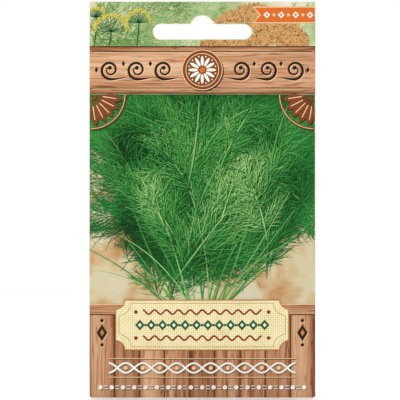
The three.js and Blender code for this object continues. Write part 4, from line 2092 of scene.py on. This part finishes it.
@dataclass
class SeedHeap:
    """The flat ribbed seeds that lie in layers between the panels."""

    form: PacketForm
    effects: Effects
    length: float = 4.2
    width: float = 2.1
    thickness: float = 1.0
    grid: tuple[float, float] = (4.5, 2.45)
    layer_gap: float = 1.14
    clearance: float = 0.42
    side_margin: float = 5.6
    bottom_margin: float = 9.0
    rings: int = 8
    around: int = 12
    seed: int = 3

    def unit_seed(self) -> tuple[Array, Array, list[tuple[int, ...]]]:
        """Shape one seed.

        Returns:
            Its points, their places round the section from 0 to 1, and its faces.
        """
        along = np.pi * (np.arange(self.rings) + 0.35) / (self.rings - 0.3)
        turn = math.tau * np.arange(self.around) / self.around
        girth = np.sin(along) ** 0.72
        rib = 1 + 0.09 * np.cos(turn * self.around / 2)
        wing = 1 + 0.1 * np.abs(np.cos(turn)) ** 6
        x = np.repeat(np.cos(along) * self.length / 2, self.around)
        z = np.outer(girth, np.cos(turn) * wing).ravel() * self.width / 2.2
        y = np.outer(girth, np.sin(turn) * rib).ravel() * self.thickness / 2.2
        numbers = np.arange(self.rings * self.around).reshape(self.rings, self.around)
        faces = grid_faces(np.concatenate([numbers, numbers[:, :1]], 1)).tolist()
        faces += [numbers[0][::-1].tolist(), numbers[-1].tolist()]
        return joined(x, y, z), np.tile(turn / math.tau, self.rings), faces

    def heap_top(self, x: Array) -> Array:
        """Give the height of the heap's top across the packet."""
        wave = 3.4 * np.sin(math.tau * x / 69) + 1.4 * np.sin(math.tau * x / 27)
        return self.form.bottom + self.form.heap_top - 2.5 + wave

    def places(self, random: Generator) -> tuple[Array, Array]:
        """Lay the seeds out in leaning rows, where they have room.

        Args:
            random: The source of random draws.

        Returns:
            Their middles as (x, y, z) rows and how far each is turned, in radians.
        """
        step_x, step_z = self.grid
        columns, rows = np.arange(-60.0, 60.0, step_x), np.arange(-60.0, 60.0, step_z)
        middles, turns = [], []
        for layer in range(-2, 2):
            y = (layer + 0.5) * self.layer_gap
            lean = 0.35 + layer * 1.05
            x, z = np.meshgrid(columns, rows)
            x = (x + (np.arange(len(rows)) % 2)[:, None] * step_x / 2).ravel()
            z = z.ravel()
            px = x * np.cos(lean) - z * np.sin(lean) + random.normal(0, 0.1, x.shape)
            centre = self.form.bottom + 26
            pz = x * np.sin(lean) + z * np.cos(lean) + centre + random.normal(0, 0.1, x.shape)
            room = self.form.inner + self.form.pillow(np.abs(px) + 1.6, pz) - self.clearance
            fits = room > abs(y) + self.thickness / 2
            fits &= np.abs(px) < self.form.fold_x - self.side_margin - self.length / 2 + 1.5
            fits &= pz > self.form.bottom + self.bottom_margin + self.length / 2
            fits &= pz < self.heap_top(px) - self.length / 2 + 1.0
            middles.append(joined(px, y, pz)[fits])
            turns.append(lean + random.normal(0, 0.05, int(fits.sum())))
        return np.concatenate(middles), np.concatenate(turns)

    def corner_spots(self, faces: list[list[int]], turn_share: Array) -> Array:
        """Map one seed's corners to a strip, with the turn round the section along it.

        Args:
            faces: The seed's faces.
            turn_share: Each point's place round the section, from 0 to 1.

        Returns:
            One (u, v) row for each face corner.
        """
        spots = []
        for face in faces:
            u = turn_share[face]
            if len(face) == 4:
                u = np.where(u.max() - u > 0.5, u + 1, u)
            high = np.arange(len(face)) % 4 // 2
            spots.append(joined(u / (1 + 1 / self.around), high * 0.01))
        return np.concatenate(spots)

    def build(self) -> None:
        """Make the heap, which stands for the frame's seeds."""
        random = default_rng(self.seed)
        shape, turn_share, faces = self.unit_seed()
        middles, turns = self.places(random)
        cos, sin = np.cos(turns)[:, None], np.sin(turns)[:, None]
        size = random.uniform(0.9, 1.0, (len(middles), 1))
        x, y, z = (shape[None, :, axis] * size for axis in range(3))
        points = joined(x * cos - z * sin, y, x * sin + z * cos) + middles[:, None]
        starts = range(0, len(middles) * len(shape), len(shape))
        rows = [[start + corner for corner in face] for start in starts for face in faces]
        sheen = Sheen(roughness=0.62, fibre_scale=5200.0, bump=0.3)
        husk = HuskFinish("husk", self.effects, sheen).material()
        heap = make_object("seed_heap", points.reshape(-1, 3), rows, [husk])
        spots = self.corner_spots(faces, turn_share)
        maps = np.tile(spots, (len(middles), 1))
        maps[:, 1] += np.repeat(random.uniform(0.05, 0.95, len(middles)), len(spots)) * 0.98
        write_map(heap.data, maps)
        face_outwards(heap.data)
        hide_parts("seeds")
        settle_piece(heap, Slot.SEED)


@dataclass
class GlueLines:
    """The frame's thin glue films, which stay and get a dried, slightly glossy finish."""

    effects: Effects
    shown: dict[str, Piece]
    nodes: tuple[str, ...] = ("glue_header", "glue_side_seam", "glue_bottom_flap")

    def build(self) -> None:
        """Dress the films."""
        sheen = Sheen(roughness=0.34, coat=0.2, fibre_scale=900.0, bump=0.4)
        colors = {"dark": (226, 214, 172), "light": (240, 232, 202)}
        glue = ToneFinish("dried_glue", self.effects, sheen, **colors).material()
        for name in self.nodes:
            for slot in self.shown[name].material_slots:
                slot.material = glue
            log.info("%s: dressed", name)


@dataclass
class Studio:
    """The camera at the photograph's angle, the soft lights and the pale floor."""

    form: PacketForm
    frame_width: float = 141.4
    lens: float = 200.0
    sensor: float = 36.0
    shift: tuple[float, float] = (-0.8, -0.12)
    floor_drop: float = 0.3
    floor_reach: float = 900.0
    sky_power: float = 1.9
    lamps: tuple[tuple[str, tuple[float, float, float], float, float], ...] = (
        ("key_light", (-0.55, -0.6, 0.45), 0.4, 3.3),
        ("fill_light", (0.6, -0.7, 0.1), 0.6, 1.1),
        ("back_light", (0.5, 0.7, 0.5), 0.5, 2.2),
    )

    @property
    def middle(self) -> Vector:
        """The packet's middle, in metres."""
        return Vector((0, 0, (self.form.top + self.form.bottom) / 2)) * MM

    def place(self, data: bpy.types.ID, spot: Vector, turn: object) -> Piece:
        """Put a camera or light into the scene.

        Args:
            data: Its data.
            spot: Where it stands, in metres.
            turn: How it is turned, in radians.

        Returns:
            The new object.
        """
        made = bpy.data.objects.new(data.name, data)
        made.location, made.rotation_euler = spot, turn
        bpy.context.scene.collection.objects.link(made)
        return made

    def camera(self) -> None:
        """Place the camera straight in front of the packet."""
        data = bpy.data.cameras.new("camera")
        data.lens, data.sensor_width = self.lens, self.sensor
        across, up = self.shift
        away = Vector((across, -self.frame_width * self.lens / self.sensor, up)) * MM
        bpy.context.scene.camera = self.place(data, self.middle + away, (math.pi / 2, 0, 0))

    def lights(self) -> None:
        """Add the soft square lights, which face the packet, and the even light from above."""
        for name, spot, size, power in self.lamps:
            data = bpy.data.lights.new(name, "AREA")
            data.size, data.energy = size, power
            facing = (self.middle - Vector(spot)).to_track_quat("-Z", "Y").to_euler()
            self.place(data, Vector(spot), facing)
        data = bpy.data.lights.new("sky_light", "SUN")
        data.energy, data.angle = self.sky_power, math.radians(70)
        self.place(data, Vector(), (math.radians(-14), 0, 0))

    def floor(self) -> None:
        """Lay the pale floor under the hanging packet."""
        reach, level = self.floor_reach, self.form.bottom - self.floor_drop
        corners = np.array([(-1, -1), (1, -1), (1, 1), (-1, 1)]) * reach
        material = bpy.data.materials.new("floor")
        material.use_nodes = True
        nodes = Nodes(material.node_tree)
        tone = nodes.object_place().noise(3.0).ramp([(0.2, (243, 243, 242)), (0.8, (247, 247, 246))])
        nodes.fill(nodes.tree.nodes["Principled BSDF"], {"Base Color": tone, "Roughness": 0.9})
        points = np.insert(corners, 2, level, axis=1)
        make_object("floor", points, [(0, 1, 2, 3)], [material])

    def world(self) -> None:
        """Surround the packet with white, dimmer as a light than as a backdrop."""
        world = bpy.data.worlds.new("studio")
        bpy.context.scene.world = world
        world.use_nodes = True
        nodes = Nodes(world.node_tree)
        seen = nodes.add("ShaderNodeLightPath", {}, "Is Camera Ray")
        strength = nodes.add("ShaderNodeMapRange", {"Value": seen, "To Min": 0.36, "To Max": 1.0})
        background = {"Color": (1, 1, 1, 1), "Strength": strength}
        nodes.fill(nodes.tree.nodes["Background"], background)

    def build(self) -> None:
        """Set up the whole studio."""
        bpy.context.scene.view_settings.view_transform = "Standard"
        self.camera()
        self.world()
        self.floor()
        self.lights()


def main() -> None:
    """Build the packet round the frame and report each piece."""
    logging.basicConfig(level=logging.INFO, format="%(name)s: %(message)s")
    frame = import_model()
    effects, form = Effects(), PacketForm.from_frame()
    inks = InkFinish("ink_ornaments", effects, stops=Ink.stops(), tone_share=0.07).material()
    assemblies = (
        Studio(form),
        PacketPaper(form, effects),
        HerbPicture(form, effects),
        HeaderPicture(form, effects, inks),
        BandOrnament(form, inks),
        PlanterFoot(form, effects, inks),
        BackPrint(form, inks),
        SeedHeap(form, effects),
        GlueLines(effects, frame["nodes"]),
    )
    for assembly in assemblies:
        assembly.build()


if __name__ == "__main__":
    main()
